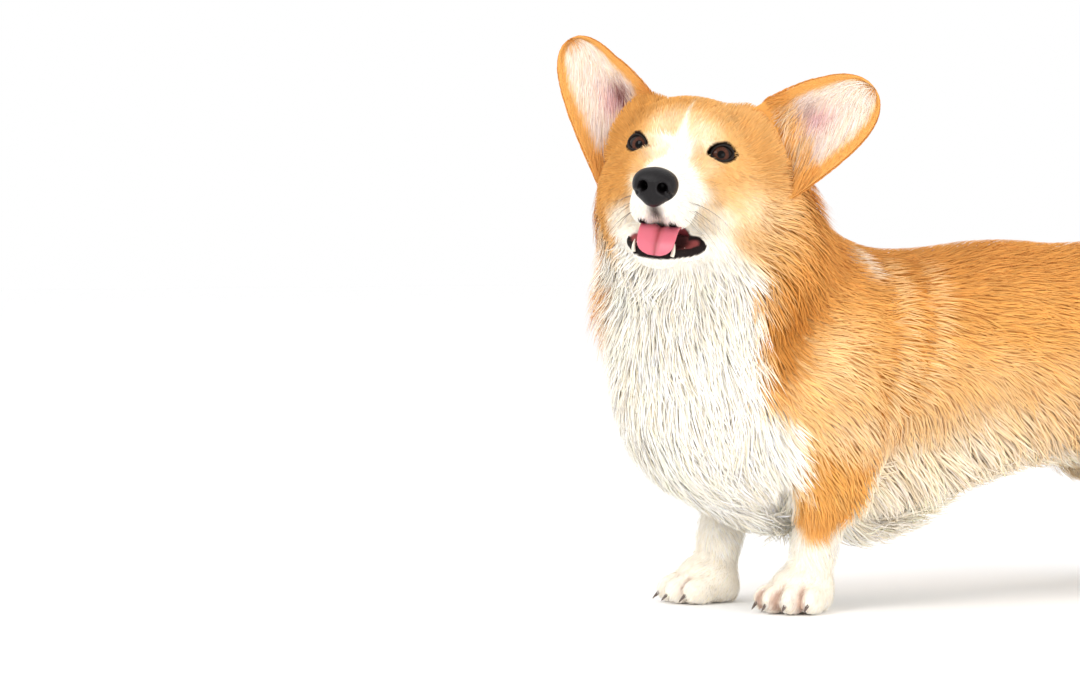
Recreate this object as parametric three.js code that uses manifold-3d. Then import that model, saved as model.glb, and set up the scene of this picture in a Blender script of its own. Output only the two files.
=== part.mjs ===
// A Pembroke Welsh corgi standing square, life size, its head turned to its left and its mouth open.
// Millimetres. +X runs towards the head, +Y to the animal's left, +Z up from the floor it stands on.
import * as THREE from 'three';
import { mergeVertices } from 'three/addons/utils/BufferGeometryUtils.js';
import Module from 'manifold-3d';

const wasm = await Module();
wasm.setup();

// Driving sizes
const withersHeight = 290;
const halfWidth = 92; // of the rib cage
const foreFeet = { left: [114, 48], right: [144, -52] }; // where they stand, the left one a little behind
const hindFeet = { left: [-272, 62], right: [-298, -62] }; // and the right one behind here
const gap = 0.3; // between neighbouring pieces
const eyeRadius = 10.5;
const eyeY = 28.5;
const earThickness = 4.2;
const soleLevel = 0;

// The head's own frame has its origin midway between the eyes, +X along the muzzle.
const headAt = new THREE.Vector3(232, 68, 361);
const headTurn = { yaw: 51, pitch: 1, roll: -7.2 }; // degrees: to its left, nose up, left ear down

const degrees = THREE.MathUtils.degToRad;
const vec = (x, y, z) => new THREE.Vector3(x, y, z);
const mix = THREE.MathUtils.lerp;

const headFrame = new THREE.Matrix4().makeRotationFromEuler(
  new THREE.Euler(degrees(headTurn.roll), degrees(-headTurn.pitch), degrees(headTurn.yaw), 'ZYX')
).setPosition(headAt);
const intoHead = headFrame.clone().invert();

// Forms: each gives a value that is negative inside it and grows about a millimetre per millimetre

function ellipsoid(at, radii, blend = 14, turn = [0, 0, 0]) {
  const [cx, cy, cz] = at;
  const [rx, ry, rz] = radii;
  const back = new THREE.Matrix4().makeRotationFromEuler(
    new THREE.Euler(...turn.map(degrees), 'ZYX')).invert().elements;
  const value = (p) => {
    const dx = p.x - cx, dy = p.y - cy, dz = p.z - cz;
    const x = back[0] * dx + back[4] * dy + back[8] * dz;
    const y = back[1] * dx + back[5] * dy + back[9] * dz;
    const z = back[2] * dx + back[6] * dy + back[10] * dz;
    const reach = Math.hypot(x / rx, y / ry, z / rz);
    const slope = Math.hypot(x / (rx * rx), y / (ry * ry), z / (rz * rz));
    return slope > 0 ? reach * (reach - 1) / slope : -Math.min(rx, ry, rz);
  };
  return { value, blend };
}

// A limb from one joint to the next, its radius changing evenly between them.
function limb(from, to, fromRadius, toRadius, blend = 12) {
  const a = vec(...from);
  const along = vec(...to).sub(a);
  const length2 = along.lengthSq();
  const value = (p) => {
    const x = p.x - a.x, y = p.y - a.y, z = p.z - a.z;
    const t = Math.min(1, Math.max(0, (x * along.x + y * along.y + z * along.z) / length2));
    return Math.hypot(x - along.x * t, y - along.y * t, z - along.z * t) - mix(fromRadius, toRadius, t);
  };
  return { value, blend };
}

function smoothMin(a, b, blend) {
  const h = Math.max(blend - Math.abs(a - b), 0) / blend;
  return Math.min(a, b) - h * h * blend / 4;
}

const joined = (forms) => (p) => {
  let value = forms[0].value(p);
  for (const form of forms.slice(1)) value = smoothMin(value, form.value(p), form.blend);
  return value;
};

// The body, as forms in the animal's frame

const trunkForms = [
  ellipsoid([66, 0, 190], [150, halfWidth, 95]),
  ellipsoid([-100, 0, 206], [175, 82, 84], 30),
  ellipsoid([-222, 0, 200], [98, 84, 88], 30),
  ellipsoid([152, 0, 180], [72, 74, 82], 30),
  ellipsoid([98, 0, 238], [80, 54, withersHeight - 242], 30),
];

const neckForm = limb([122, 0, 222], [176, 22, 322], 84, 62, 34);

function foreLimbForms(side) {
  const [footX, footY] = side > 0 ? foreFeet.left : foreFeet.right;
  const wristX = footX - 14;
  const upperX = 96 + (footX - 129) * 0.4;
  return [
    ellipsoid([upperX + 14, side * 62, 176], [50, 36, 76], 20, [0, -12, 0]),
    ellipsoid([upperX, side * 66, 132], [42, 29, 44], 18),
    limb([upperX + 4, side * 64, 116], [wristX, footY - side, 50], 29, 18, 16),
    limb([wristX, footY - side, 50], [wristX + 6, footY, 22], 18, 18, 10),
  ];
}

function hindLimbForms(side) {
  const [footX, footY] = side > 0 ? hindFeet.left : hindFeet.right;
  const kneeX = footX + 60;
  return [
    ellipsoid([kneeX - 18, side * 60, 172], [62, 37, 86], 20),
    ellipsoid([kneeX - 6, side * 66, 136], [36, 26, 42], 18),
    limb([kneeX - 12, side * 67, 122], [footX - 24, footY + side, 78], 31, 17.5, 18),
    limb([footX - 24, footY + side, 78], [footX - 12, footY, 24], 17, 16, 10),
  ];
}

// A paw: a broad instep and four toes, set round a heading in degrees from straight ahead.
const toes = [
  { ahead: 11, aside: 20, radii: [18, 9, 12.5] },
  { ahead: 19, aside: 7.6, radii: [19, 9, 13.5] },
  { ahead: 19, aside: -7.6, radii: [19, 9, 13.5] },
  { ahead: 11, aside: -20, radii: [18, 9, 12.5] },
];
const pawPlaces = [
  { name: 'fore_left', at: foreFeet.left, heading: 27, size: 1 },
  { name: 'fore_right', at: foreFeet.right, heading: -6, size: 1 },
  { name: 'hind_left', at: hindFeet.left, heading: 8, size: 0.94 },
  { name: 'hind_right', at: hindFeet.right, heading: -8, size: 0.94 },
];

function onPaw(paw, ahead, aside, height) {
  const turn = degrees(paw.heading);
  return [
    paw.at[0] + paw.size * (ahead * Math.cos(turn) - aside * Math.sin(turn)),
    paw.at[1] + paw.size * (ahead * Math.sin(turn) + aside * Math.cos(turn)),
    height,
  ];
}

function pawForms(paw) {
  const instep = ellipsoid(onPaw(paw, -3, 0, 18), [26, 25, 21].map((r) => r * paw.size), 8, [0, 0, paw.heading]);
  const heel = ellipsoid(onPaw(paw, -14, 0, 9), [15, 19, 12], 8, [0, 0, paw.heading]);
  return [instep, heel, ...toes.map((toe) => ellipsoid(
    onPaw(paw, toe.ahead, toe.aside, 11), toe.radii.map((r) => r * paw.size), 5,
    [0, 0, paw.heading + toe.aside * 0.5]))];
}

const tailForm = limb([-290, 0, 240], [-330, 0, 218], 24, 13, 20);

// Where the coat is long it fills these fuller forms as deep as its locks are rooted.
const coatForms = [
  limb([150, -9, 250], [172, -10, 312], 88, 70, 22),
  ellipsoid([154, 0, 178], [80, 80, 90], 22),
  ellipsoid([118, 0, 114], [48, 34, 48], 20),
  limb([30, 0, 116], [-120, 0, 168], 50, 44, 24),
  ...[1, -1].map((s) => ellipsoid([-258, s * 44, 160], [52, 40, 66], 22)),
];

// The head, as forms in its own frame

const bothSides = (make) => [...make(1), ...make(-1)];

const skullForms = [
  ellipsoid([-50, 0, 0], [60, 50, 42]),
  ellipsoid([-20, 0, 10], [34, 37, 24], 16),
  ...bothSides((s) => [
    ellipsoid([-8, s * 22, 8], [15, 13, 10], 10),
    ellipsoid([0, s * 27, -20], [25, 14, 17], 14),
    ellipsoid([-36, s * 38, -38], [42, 28, 38], 18),
    ellipsoid([-58, s * 48, 10], [18, 18, 34], 16, [s * 24, 0, 0]),
  ]),
  limb([6, 0, -29], [66, 0, -34], 26, 17.5, 16),
  ...bothSides((s) => [ellipsoid([40, s * 11.5, -46], [29, 13, 16], 8)]),
  limb([-34, 0, -68], [40, 0, -80], 24, 12, 14),
  ...bothSides((s) => [limb([-14, s * 31, -71], [48, s * 8, -79], 9, 9.5, 8)]),
  ellipsoid([46, 0, -80], [15, 14, 9], 8),
  ellipsoid([-58, 0, -58], [50, 52, 46], 24),
];

const headField = joined(skullForms);
const local = new THREE.Vector3();
const headInBody = { value: (p) => headField(local.copy(p).applyMatrix4(intoHead)), blend: 22 };

const limbForms = bothSides((s) => [...foreLimbForms(s), ...hindLimbForms(s)]);
const body = joined([
  ...trunkForms, neckForm, ...coatForms, headInBody, ...limbForms, ...pawPlaces.flatMap(pawForms), tailForm,
]);

// Surfaces of a form

function gradient(field, p, step = 0.5) {
  const at = (x, y, z) => field(vec(p.x + x, p.y + y, p.z + z));
  return vec(
    at(step, 0, 0) - at(-step, 0, 0),
    at(0, step, 0) - at(0, -step, 0),
    at(0, 0, step) - at(0, 0, -step),
  ).divideScalar(2 * step);
}

// Moves a point along the field's slope until the field has the wanted value there.
function toLevel(field, p, level, rounds = 4) {
  for (let i = 0; i < rounds; i += 1) {
    const slope = gradient(field, p);
    p.addScaledVector(slope, (level - field(p)) / Math.max(slope.lengthSq(), 0.05));
  }
  return p;
}

// The closed surface where the field is level, on a grid of cubes of the given size inside a box:
// one vertex in each cube that the surface crosses, and a quad round each crossed edge.
function surfaceOf(wanted, box, cell, level = 0) {
  const low = box.min;
  const high = box.max;
  const edge = cell * 1.3;
  const field = (p) => Math.max(
    wanted(p) - level,
    low.x - p.x + edge, low.y - p.y + edge, low.z - p.z + edge,
    p.x - high.x + edge, p.y - high.y + edge, p.z - high.z + edge,
  );
  const count = box.getSize(vec(0, 0, 0)).divideScalar(cell).ceil().addScalar(1).toArray();
  const stride = [1, count[0], count[0] * count[1]];
  const values = new Float32Array(count[0] * count[1] * count[2]);
  const corner = (x, y, z) => vec(low.x + x * cell, low.y + y * cell, low.z + z * cell);
  for (let z = 0; z < count[2]; z += 1)
    for (let y = 0; y < count[1]; y += 1)
      for (let x = 0; x < count[0]; x += 1)
        values[x + y * stride[1] + z * stride[2]] = field(corner(x, y, z));

  const cornerOf = [...Array(8).keys()].map((c) => [c & 1, (c >> 1) & 1, c >> 2]);
  const edges = [];
  for (let a = 0; a < 8; a += 1)
    for (const bit of [1, 2, 4]) if (!(a & bit)) edges.push([a, a | bit]);

  const vertexOf = new Int32Array(values.length).fill(-1);
  const positions = [];
  for (let z = 0; z < count[2] - 1; z += 1)
    for (let y = 0; y < count[1] - 1; y += 1)
      for (let x = 0; x < count[0] - 1; x += 1) {
        const here = x + y * stride[1] + z * stride[2];
        const at = cornerOf.map(([i, j, k]) => values[here + i + j * stride[1] + k * stride[2]]);
        const crossed = edges.filter(([a, b]) => (at[a] < 0) !== (at[b] < 0));
        if (!crossed.length) continue;
        const middle = vec(0, 0, 0);
        for (const [a, b] of crossed) {
          const t = at[a] / (at[a] - at[b]);
          middle.add(vec(...cornerOf[a]).lerp(vec(...cornerOf[b]), t));
        }
        middle.divideScalar(crossed.length).add(vec(x, y, z)).multiplyScalar(cell).add(low);
        const settled = toLevel(field, middle.clone(), 0, 2);
        const shift = settled.sub(middle).clampLength(0, cell * 0.35);
        vertexOf[here] = positions.length / 3;
        positions.push(...middle.add(shift).toArray());
      }

  const index = [];
  for (let z = 1; z < count[2] - 1; z += 1)
    for (let y = 1; y < count[1] - 1; y += 1)
      for (let x = 1; x < count[0] - 1; x += 1) {
        const here = x + y * stride[1] + z * stride[2];
        for (let axis = 0; axis < 3; axis += 1) {
          const inside = values[here] < 0;
          if (inside === values[here + stride[axis]] < 0) continue;
          const b = stride[(axis + 1) % 3];
          const c = stride[(axis + 2) % 3];
          const quad = [here, here - b, here - b - c, here - c].map((i) => vertexOf[i]);
          if (!inside) quad.reverse();
          index.push(quad[0], quad[1], quad[2], quad[0], quad[2], quad[3]);
        }
      }
  const geometry = new THREE.BufferGeometry();
  geometry.setAttribute('position', new THREE.Float32BufferAttribute(positions, 3));
  geometry.setIndex(index);
  return geometry;
}

// Solids

// A three.js geometry as a closed solid, turned inside out where its faces point inwards.
function solidOf(geometry) {
  const bare = new THREE.BufferGeometry();
  bare.setAttribute('position', geometry.attributes.position);
  bare.setIndex(geometry.index);
  const merged = mergeVertices(bare, 1e-3);
  const points = merged.attributes.position.array;
  const triVerts = new Uint32Array(merged.index.array);
  const make = () => new wasm.Manifold(new wasm.Mesh({ numProp: 3, vertProperties: points, triVerts }));
  const made = make();
  if (made.volume() > 0) return made;
  for (let i = 0; i < triVerts.length; i += 3)
    [triVerts[i + 1], triVerts[i + 2]] = [triVerts[i + 2], triVerts[i + 1]];
  return make();
}

// A skin through rings of points, its ends closed by strips from side to side.
function loft(rings) {
  const across = rings[0].length;
  const index = [];
  rings.slice(1).forEach((ring, r) => {
    for (let k = 0; k < across; k += 1) {
      const a = r * across + k;
      const b = r * across + (k + 1) % across;
      index.push(a, b, b + across, a, b + across, a + across);
    }
  });
  const last = (rings.length - 1) * across;
  for (let low = 0, high = across - 1; high - low > 1; low += 1, high -= 1) {
    index.push(high, low + 1, low, last + low, last + low + 1, last + high);
    if (high - low > 2) {
      index.push(high, high - 1, low + 1, last + low + 1, last + high - 1, last + high);
    }
  }
  const geometry = new THREE.BufferGeometry();
  geometry.setFromPoints(rings.flat());
  geometry.setIndex(index);
  return geometry;
}

const together = (solids) => wasm.Manifold.union(solids);

// The largest closed surface of a solid, without loose scraps.
function largest(solid) {
  const pieces = solid.decompose();
  return pieces.reduce((a, b) => (b.volume() > a.volume() ? b : a));
}

// Where two folds of a surface meet in one point, each one's vertex is drawn back into its own side.
function partTwins({ attributes: { position, normal } }) {
  const found = new Map();
  for (let i = 0; i < position.count; i += 1) {
    const key = [position.getX(i), position.getY(i), position.getZ(i)].map((v) => v.toFixed(3)).join();
    found.set(key, [...(found.get(key) ?? []), i]);
  }
  const p = vec(0, 0, 0);
  const n = vec(0, 0, 0);
  for (const twins of found.values()) {
    if (twins.length < 2) continue;
    for (const i of twins) {
      p.fromBufferAttribute(position, i).addScaledVector(n.fromBufferAttribute(normal, i), -0.05);
      position.setXYZ(i, p.x, p.y, p.z);
    }
  }
}

function meshOf(name, solid, material) {
  const { vertProperties, triVerts } = largest(solid).getMesh();
  const geometry = new THREE.BufferGeometry();
  geometry.setAttribute('position', new THREE.BufferAttribute(new Float32Array(vertProperties), 3));
  geometry.setIndex(new THREE.BufferAttribute(new Uint32Array(triVerts), 1));
  geometry.computeVertexNormals();
  partTwins(geometry);
  const mesh = new THREE.Mesh(geometry, material);
  mesh.name = name;
  return mesh;
}

const boxFrom = (low, high) => new THREE.Box3(vec(...low), vec(...high));

function block(low, high, grow = 0) {
  const size = high.map((v, i) => v - low[i] + 2 * grow);
  const middle = high.map((v, i) => (v + low[i]) / 2);
  return solidOf(new THREE.BoxGeometry(...size).translate(...middle));
}

// Everything on the far side of a plane, as a large block whose near face lies on the plane.
function beyond(point, normal, shift = 0) {
  const reach = 900;
  const geometry = new THREE.BoxGeometry(reach, reach, reach).translate(0, 0, reach / 2 + shift);
  const toNormal = new THREE.Quaternion().setFromUnitVectors(vec(0, 0, 1), normal.clone().normalize());
  return solidOf(geometry.applyQuaternion(toNormal).translate(...point.toArray()));
}

const inHead = (geometry) => geometry.applyMatrix4(headFrame);

// Locks of the long coat

let seed = 7;
function random() {
  seed = (seed * 16807) % 2147483647;
  return seed / 2147483647;
}
const vary = (share) => 1 + share * (2 * random() - 1);

const lockProfile = { // along a lock from its root to its tip
  along: [0, 0.36, 0.72, 1],
  width: [0.7, 1, 0.6, 0.06],
  depth: [0.9, 1, 0.65, 0.12],
  height: [-1, 0.25, 0.6, 0.9],
};

// A flat, tapered lock that leaves the skin, rises to its lift and follows the surface along its lie,
// or hangs free of it by the share given as hang.
function lock(field, root, lie, { length, width, lift, depth = 9, hang = 0 }) {
  const line = lockProfile.along.map((t, i) => {
    const point = root.clone().addScaledVector(lie, length * t);
    const close = i === 0 ? -7 : lift * lockProfile.height[i];
    return toLevel(field, point, i === 0 ? close : mix(close, Math.max(close, field(point)), hang), 3);
  });
  const rings = line.map((centre, i) => {
    const out = gradient(field, centre).normalize();
    const next = line[Math.min(i + 1, line.length - 1)];
    const along = next.clone().sub(line[Math.max(i - 1, 0)]).normalize();
    const aside = along.cross(out).normalize().multiplyScalar(width * lockProfile.width[i] / 2);
    const ridge = out.multiplyScalar(depth * lockProfile.depth[i]);
    return [centre.clone().add(aside), centre.clone().add(ridge), centre.clone().sub(aside)];
  });
  return solidOf(loft(rings));
}

// The part of a wanted direction that lies along the surface at a point.
function alongSurface(field, p, direction) {
  const out = gradient(field, p).normalize();
  return direction.clone().addScaledVector(out, -direction.dot(out)).normalize();
}

// Where a ray from inside the body leaves it.
function surfaceAt(field, from, direction) {
  const p = from.clone();
  for (let i = 0; i < 60; i += 1) {
    const value = field(p);
    if (value > -0.05) break;
    p.addScaledVector(direction, Math.max(-value * 0.7, 0.3));
  }
  return p;
}

// Rows of locks. Each row gives rays from inside the body, and its locks hang along the row's lie.
function rowOfLocks({ from, aim, lie, count, length, width, lift, hang = 0, start = 0 }) {
  return [...Array(count).keys()].map((i) => {
    const t = (i + start + 0.3 * (random() - 0.5)) / Math.max(count - 1, 1);
    const rootAt = surfaceAt(body, from(t), aim(t).normalize());
    const wanted = lie(t, rootAt).clone().add(vec(0, 0.16 * (random() - 0.5), 0)).normalize();
    const along = alongSurface(body, rootAt, wanted);
    return lock(body, rootAt, along.lerp(wanted, 0.35).normalize(), {
      length: length * vary(0.16), width: width * vary(0.14), lift: lift * vary(0.16), hang,
    });
  });
}

const neckAxis = vec(0.34, 0, 0.94);
const neckFront = vec(0.94, 0, -0.34);
const around = (turn) => neckFront.clone().multiplyScalar(Math.cos(turn)).add(vec(0, Math.sin(turn), 0));
const bothWays = [1, -1];
const down = vec(-0.12, 0, -1);

const ruffLocks = [
  { at: [176, -10, 312], count: 8, width: 36 },
  { at: [167, -10, 286], count: 9, width: 38 },
  { at: [158, -9, 260], count: 9, width: 40 },
].flatMap(({ at, count, width }, ring) => rowOfLocks({
  from: () => vec(...at),
  aim: (t) => around((t + ring * 0.05) * 2 * Math.PI * (count - 1) / count),
  lie: () => neckAxis.clone().negate(),
  count, width, length: 66, lift: 12, hang: 0.1,
}));

const bibLocks = [
  { height: 228, count: 6, spread: 1.15 },
  { height: 196, count: 6, spread: 1.1 },
  { height: 164, count: 5, spread: 0.95 },
  { height: 134, count: 4, spread: 0.75 },
].flatMap(({ height, count, spread }, row) => rowOfLocks({
  from: () => vec(130, 0, height),
  aim: (t) => vec(Math.cos((2 * t - 1) * spread), Math.sin((2 * t - 1) * spread), 0),
  lie: () => down,
  start: row % 2 ? 0.2 : -0.1,
  count, width: 34, length: 62, lift: 12, hang: 0.25,
}));

const betweenLocks = [-0.6, 0.5].flatMap((s) => rowOfLocks({
  from: (t) => vec(mix(136, 92, t), s * 10, 112),
  aim: () => vec(0.2, s * 0.2, -1),
  lie: () => vec(-0.2, 0, -1),
  count: 2, width: 24, length: 26, lift: 14, hang: 0.9,
}));

const fringeLocks = bothWays.flatMap((s) => [
  { out: 0.3, count: 7, length: 50 },
  { out: 0.85, count: 6, length: 60 },
].flatMap(({ out, count, length }, row) => rowOfLocks({
  from: (t) => vec(mix(46, -140, t), s * 10, mix(128, 176, t)),
  aim: () => vec(0, s * out, -1),
  lie: () => vec(-0.6, s * 0.15, -1),
  start: row * 0.4,
  count, width: 29, length, lift: 8, hang: 0.6,
})));

const breechLocks = bothWays.flatMap((s) => [204, 168, 136].flatMap((height, row) => rowOfLocks({
  from: () => vec(-250, s * 34, height),
  aim: (t) => vec(-1, s * mix(-0.2, 0.9, t), 0),
  lie: () => vec(-0.2, s * 0.05, -1),
  start: row % 2 ? 0.25 : 0,
  count: row === 1 ? 3 : 2, width: 32, length: 56, lift: 11, hang: 0.6,
})));

const tailLocks = rowOfLocks({
  from: () => vec(-312, 0, 228),
  aim: (t) => vec(-0.2, Math.cos(t * 4.9), Math.sin(t * 4.9)),
  lie: () => vec(-0.9, 0, -0.5),
  count: 4, width: 16, length: 26, lift: 5,
});

// Cheek hair that stands out behind the corners of the mouth and below the ears.
const cheekLocks = bothWays.flatMap((s) => rowOfLocks({
  from: () => vec(-40, s * 24, -46).applyMatrix4(headFrame),
  aim: (t) => vec(0.15, s, mix(0, -1.3, t)).transformDirection(headFrame),
  lie: () => vec(-0.85, s * 0.3, -0.6).transformDirection(headFrame),
  count: 4, width: 24, length: 38, lift: 9, hang: 0.2,
}));

const bodyLocks = [
  ...ruffLocks, ...bibLocks, ...betweenLocks, ...fringeLocks, ...breechLocks,
];

// Regions that part the body, each a set of shapes that can be grown or shrunk

const neckPlane = { point: vec(54, 0, 290), normal: vec(0.44, 0, 0.9) };
const headPlane = {
  point: vec(-78, 0, 0).applyMatrix4(headFrame),
  normal: vec(0.9, 0, 0.43).transformDirection(headFrame),
};
const chestBack = 14; // the plane between chest and loin
const loinBack = -136; // and between loin and rump

const beyondX = (x, shift) => beyond(vec(x, 0, 150), vec(1, 0, 0), shift);

function roundAside(at, radii, side, inner, grow) {
  const outer = 140;
  const geometry = new THREE.CylinderGeometry(1, 1, outer - inner + grow, 28);
  geometry.scale(radii[0] + grow, 1, radii[1] + grow);
  geometry.translate(at[0], side * (outer + inner - grow) / 2, at[1]);
  return solidOf(geometry);
}

function foreRegion(side, grow = 0) {
  const low = block([48, 24, -20], [200, 130, 84], grow);
  const placed = side > 0 ? low : low.mirror([0, 1, 0]);
  const at = side > 0 ? [98, 142] : [110, 142];
  return together([roundAside(at, [52, 74], side, 50, grow), placed]);
}

function hindRegion(side, grow = 0) {
  const low = block([-334, 20, -20], [-162, 130, 96], grow);
  const placed = side > 0 ? low : low.mirror([0, 1, 0]);
  return together([roundAside([-232, 158], [64, 84], side, 48, grow), placed]);
}

// Ears: a cupped sheet between a base line and a rounded tip, in the head's frame

// Each meets the skull between its top and bottom points; the two are carried a little differently.
const earCup = 24;
const ears = {
  left: { top: [-54, 53, 45], bottom: [-50, 85, -24], tip: [-82, 131, 65], halfWidth: 33.5 },
  right: { top: [-54, 38, 39], bottom: [-50, 65, -41], tip: [-82, 114, 75], halfWidth: 29 },
};

function earPoint(ear, side, along, across) {
  const top = vec(...ear.top);
  const bottom = vec(...ear.bottom);
  const base = top.clone().add(bottom).multiplyScalar(0.5);
  const axis = vec(...ear.tip).sub(base);
  const outwards = Math.max(along, 0);
  const baseHalf = top.sub(bottom).multiplyScalar(0.5);
  const tipHalf = vec(0, -axis.z, axis.y).normalize().multiplyScalar(ear.halfWidth);
  const half = baseHalf.lerp(tipHalf, Math.min(1, outwards * 1.5))
    .multiplyScalar(Math.sqrt(Math.max(0, 1 - outwards ** 3.2)));
  const p = base.addScaledVector(axis, along).addScaledVector(half, across);
  p.x += mix(earCup, 5, outwards ** 0.8) * (across * across - 1);
  p.y *= side;
  return p;
}

// The way out of the back of the ear.
function behindEar(ear, side, along, across) {
  const t = Math.min(along, 0.85);
  const u = across * 0.85;
  const acrossIt = earPoint(ear, side, t, u + 0.03).sub(earPoint(ear, side, t, u - 0.03));
  const alongIt = earPoint(ear, side, t + 0.02, u).sub(earPoint(ear, side, t - 0.02, u));
  const out = acrossIt.cross(alongIt).normalize();
  return out.x > 0 ? out.negate() : out;
}

function earSolid(side, grow = 0) {
  const ear = side > 0 ? ears.left : ears.right;
  const rows = [-0.22, -0.04, 0.14, 0.32, 0.5, 0.68, 0.83, 0.93, 0.985, 0.9995];
  const columns = [-1, -0.74, -0.38, 0, 0.38, 0.74, 1];
  const moved = (along, across, distance) => earPoint(ear, side, along, across * (1 + grow / 24))
    .addScaledVector(behindEar(ear, side, along, across), distance);
  return solidOf(inHead(loft(rows.map((along) => {
    const front = columns.map((across) => moved(along, across, -grow));
    const back = columns.slice(1, -1).reverse().map((across) => {
      const thick = earThickness * mix(1, 0.6, across * across) * mix(1.25, 0.6, Math.max(along, 0));
      return moved(along, across, thick + grow);
    });
    return [...front, ...back];
  }))));
}

// The face

const eyeAt = (side) => vec(-7, side * eyeY, 0);

function eyeSolid(side, radius, segments = [12, 8]) {
  const at = eyeAt(side);
  return solidOf(inHead(new THREE.SphereGeometry(radius, ...segments).translate(at.x, at.y, at.z)));
}

// The opening between the lids: two arcs that meet at the corners, cut outwards from the eye.
function lidOpening(side) {
  const halfLength = 11.5;
  const outline = new THREE.Shape();
  outline.moveTo(-halfLength, 0);
  outline.bezierCurveTo(-6, 9.6, 6, 9.6, halfLength, 0);
  outline.bezierCurveTo(6, -8.4, -6, -8.4, -halfLength, 0);
  const geometry = new THREE.ExtrudeGeometry(outline, { depth: 30, bevelEnabled: false, curveSegments: 7 });
  const at = eyeAt(side);
  const out = vec(0.86, side * 0.46, 0.22).normalize();
  const up = vec(0, 0, 1).addScaledVector(out, -out.z).normalize();
  const across = up.clone().cross(out);
  geometry.applyMatrix4(new THREE.Matrix4().makeBasis(across, up, out).setPosition(at));
  return solidOf(inHead(geometry));
}

// The nose leather with its two nostrils.
const noseAt = vec(74, 0, -29);
const noseField = joined([
  ellipsoid([noseAt.x, 0, noseAt.z + 1.5], [13, 14, 10.5], 4),
  ellipsoid([noseAt.x + 4, 0, noseAt.z - 5], [8, 9, 9.5], 5),
  ...bothSides((s) => [ellipsoid([noseAt.x + 2.5, s * 7.5, noseAt.z - 0.5], [8.5, 7, 8], 3)]),
]);

function noseSolid(level, cell, nostrils) {
  const box = boxFrom([noseAt.x - 20, -22, noseAt.z - 20], [noseAt.x + 22, 22, noseAt.z + 20]);
  const whole = solidOf(inHead(surfaceOf(noseField, box, cell, level)));
  if (!nostrils) return whole;
  const holes = bothSides((s) => {
    const path = new THREE.LineCurve3(
      vec(noseAt.x + 2, s * 5.5, noseAt.z + 2), vec(noseAt.x + 20, s * 10.5, noseAt.z - 2.5));
    const round = new THREE.Shape().absellipse(0, 0, 2.6, 3.4, 0, 2 * Math.PI);
    return [solidOf(inHead(new THREE.ExtrudeGeometry(round, { extrudePath: path, steps: 1, curveSegments: 3 })))];
  });
  return whole.subtract(together(holes));
}

// The gape of the open mouth, seen from the side, right through the muzzle.
const mouthCorner = vec(-2, 0, -60);
function gape() {
  const outline = new THREE.Shape();
  outline.moveTo(mouthCorner.x, mouthCorner.z);
  outline.quadraticCurveTo(32, -65, 58, -58.5);
  outline.lineTo(92, -47);
  outline.lineTo(92, -80);
  outline.lineTo(58, -75);
  outline.quadraticCurveTo(20, -75, mouthCorner.x, mouthCorner.z);
  const width = 120;
  const geometry = new THREE.ExtrudeGeometry(outline, { depth: width, bevelEnabled: false, curveSegments: 5 });
  geometry.rotateX(Math.PI / 2).translate(0, width / 2, 0);
  return solidOf(inHead(geometry));
}

// The tongue: a broad strap with a groove down its middle that hangs over the lower front teeth.
const tonguePath = new THREE.CatmullRomCurve3([
  vec(0, 1, -70), vec(22, 2, -69), vec(44, 3, -68.5), vec(58, 3, -71), vec(63.5, 3, -80),
]);
function tongueSolid(grow = 0) {
  const rows = [0, 0.22, 0.44, 0.64, 0.8, 0.92, 1];
  const halfWidths = [14, 15.5, 16, 16.5, 16, 12.5, 6];
  const sections = rows.map((t, i) => {
    const centre = tonguePath.getPoint(t);
    const along = tonguePath.getTangent(t);
    const up = vec(-along.z, 0, along.x);
    const half = halfWidths[i] + grow;
    const thick = mix(5, 2.2, t) + grow;
    return [-1, -0.6, -0.2, 0, 0.2, 0.6, 1, 0.6, 0, -0.6].map((across, j) => {
      const top = j > 0 && j < 6;
      const groove = top ? 1.6 * Math.exp(-across * across * 30) : 0;
      const rise = (top ? thick - groove : j > 6 ? -thick : 0) * Math.sqrt(1.02 - across * across);
      return centre.clone().add(vec(0, half * across, 0)).addScaledVector(up, rise);
    });
  });
  sections[0] = sections[0].map((p) => p.add(vec(-grow, 0, 0)));
  sections[rows.length - 1] = sections[rows.length - 1].map((p) => p.add(vec(0, 0, -grow)));
  return solidOf(inHead(loft(sections)));
}

// A curved tooth or claw: a cone along a bent line.
function spike(root, tip, bend, radius, sides = 5) {
  const path = new THREE.QuadraticBezierCurve3(root, root.clone().lerp(tip, 0.5).add(bend), tip);
  const sections = [0, 0.5, 1].map((t, i) => {
    const centre = path.getPoint(t);
    const along = path.getTangent(t);
    const aside = along.clone().cross(Math.abs(along.z) > 0.9 ? vec(1, 0, 0) : vec(0, 0, 1)).normalize();
    const other = along.clone().cross(aside).normalize();
    const r = radius * [1, 0.75, 0.12][i];
    return [...Array(sides).keys()].map((k) => {
      const angle = 2 * Math.PI * k / sides;
      return centre.clone().addScaledVector(aside, r * Math.cos(angle)).addScaledVector(other, r * Math.sin(angle));
    });
  });
  return loft(sections);
}

// The lower teeth that show beside the tongue, the first of each side the canine.
const lowerTeeth = [
  { at: [53, 14.8], rise: 12, radius: 2.8 },
  { at: [42, 18.5], rise: 7, radius: 2 },
  { at: [34, 21], rise: 7.5, radius: 2.2 },
];
const toothRoot = -79;
const teeth = lowerTeeth.flatMap(({ at, rise, radius }) => bothSides((s) => {
  const rootAt = vec(at[0], s * at[1], toothRoot);
  const tipAt = vec(at[0] + 1, s * (at[1] + 1.6), toothRoot + 4.5 + rise);
  return [solidOf(inHead(spike(rootAt, tipAt, vec(1, 0, 0), radius)))];
}));

// Materials

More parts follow.
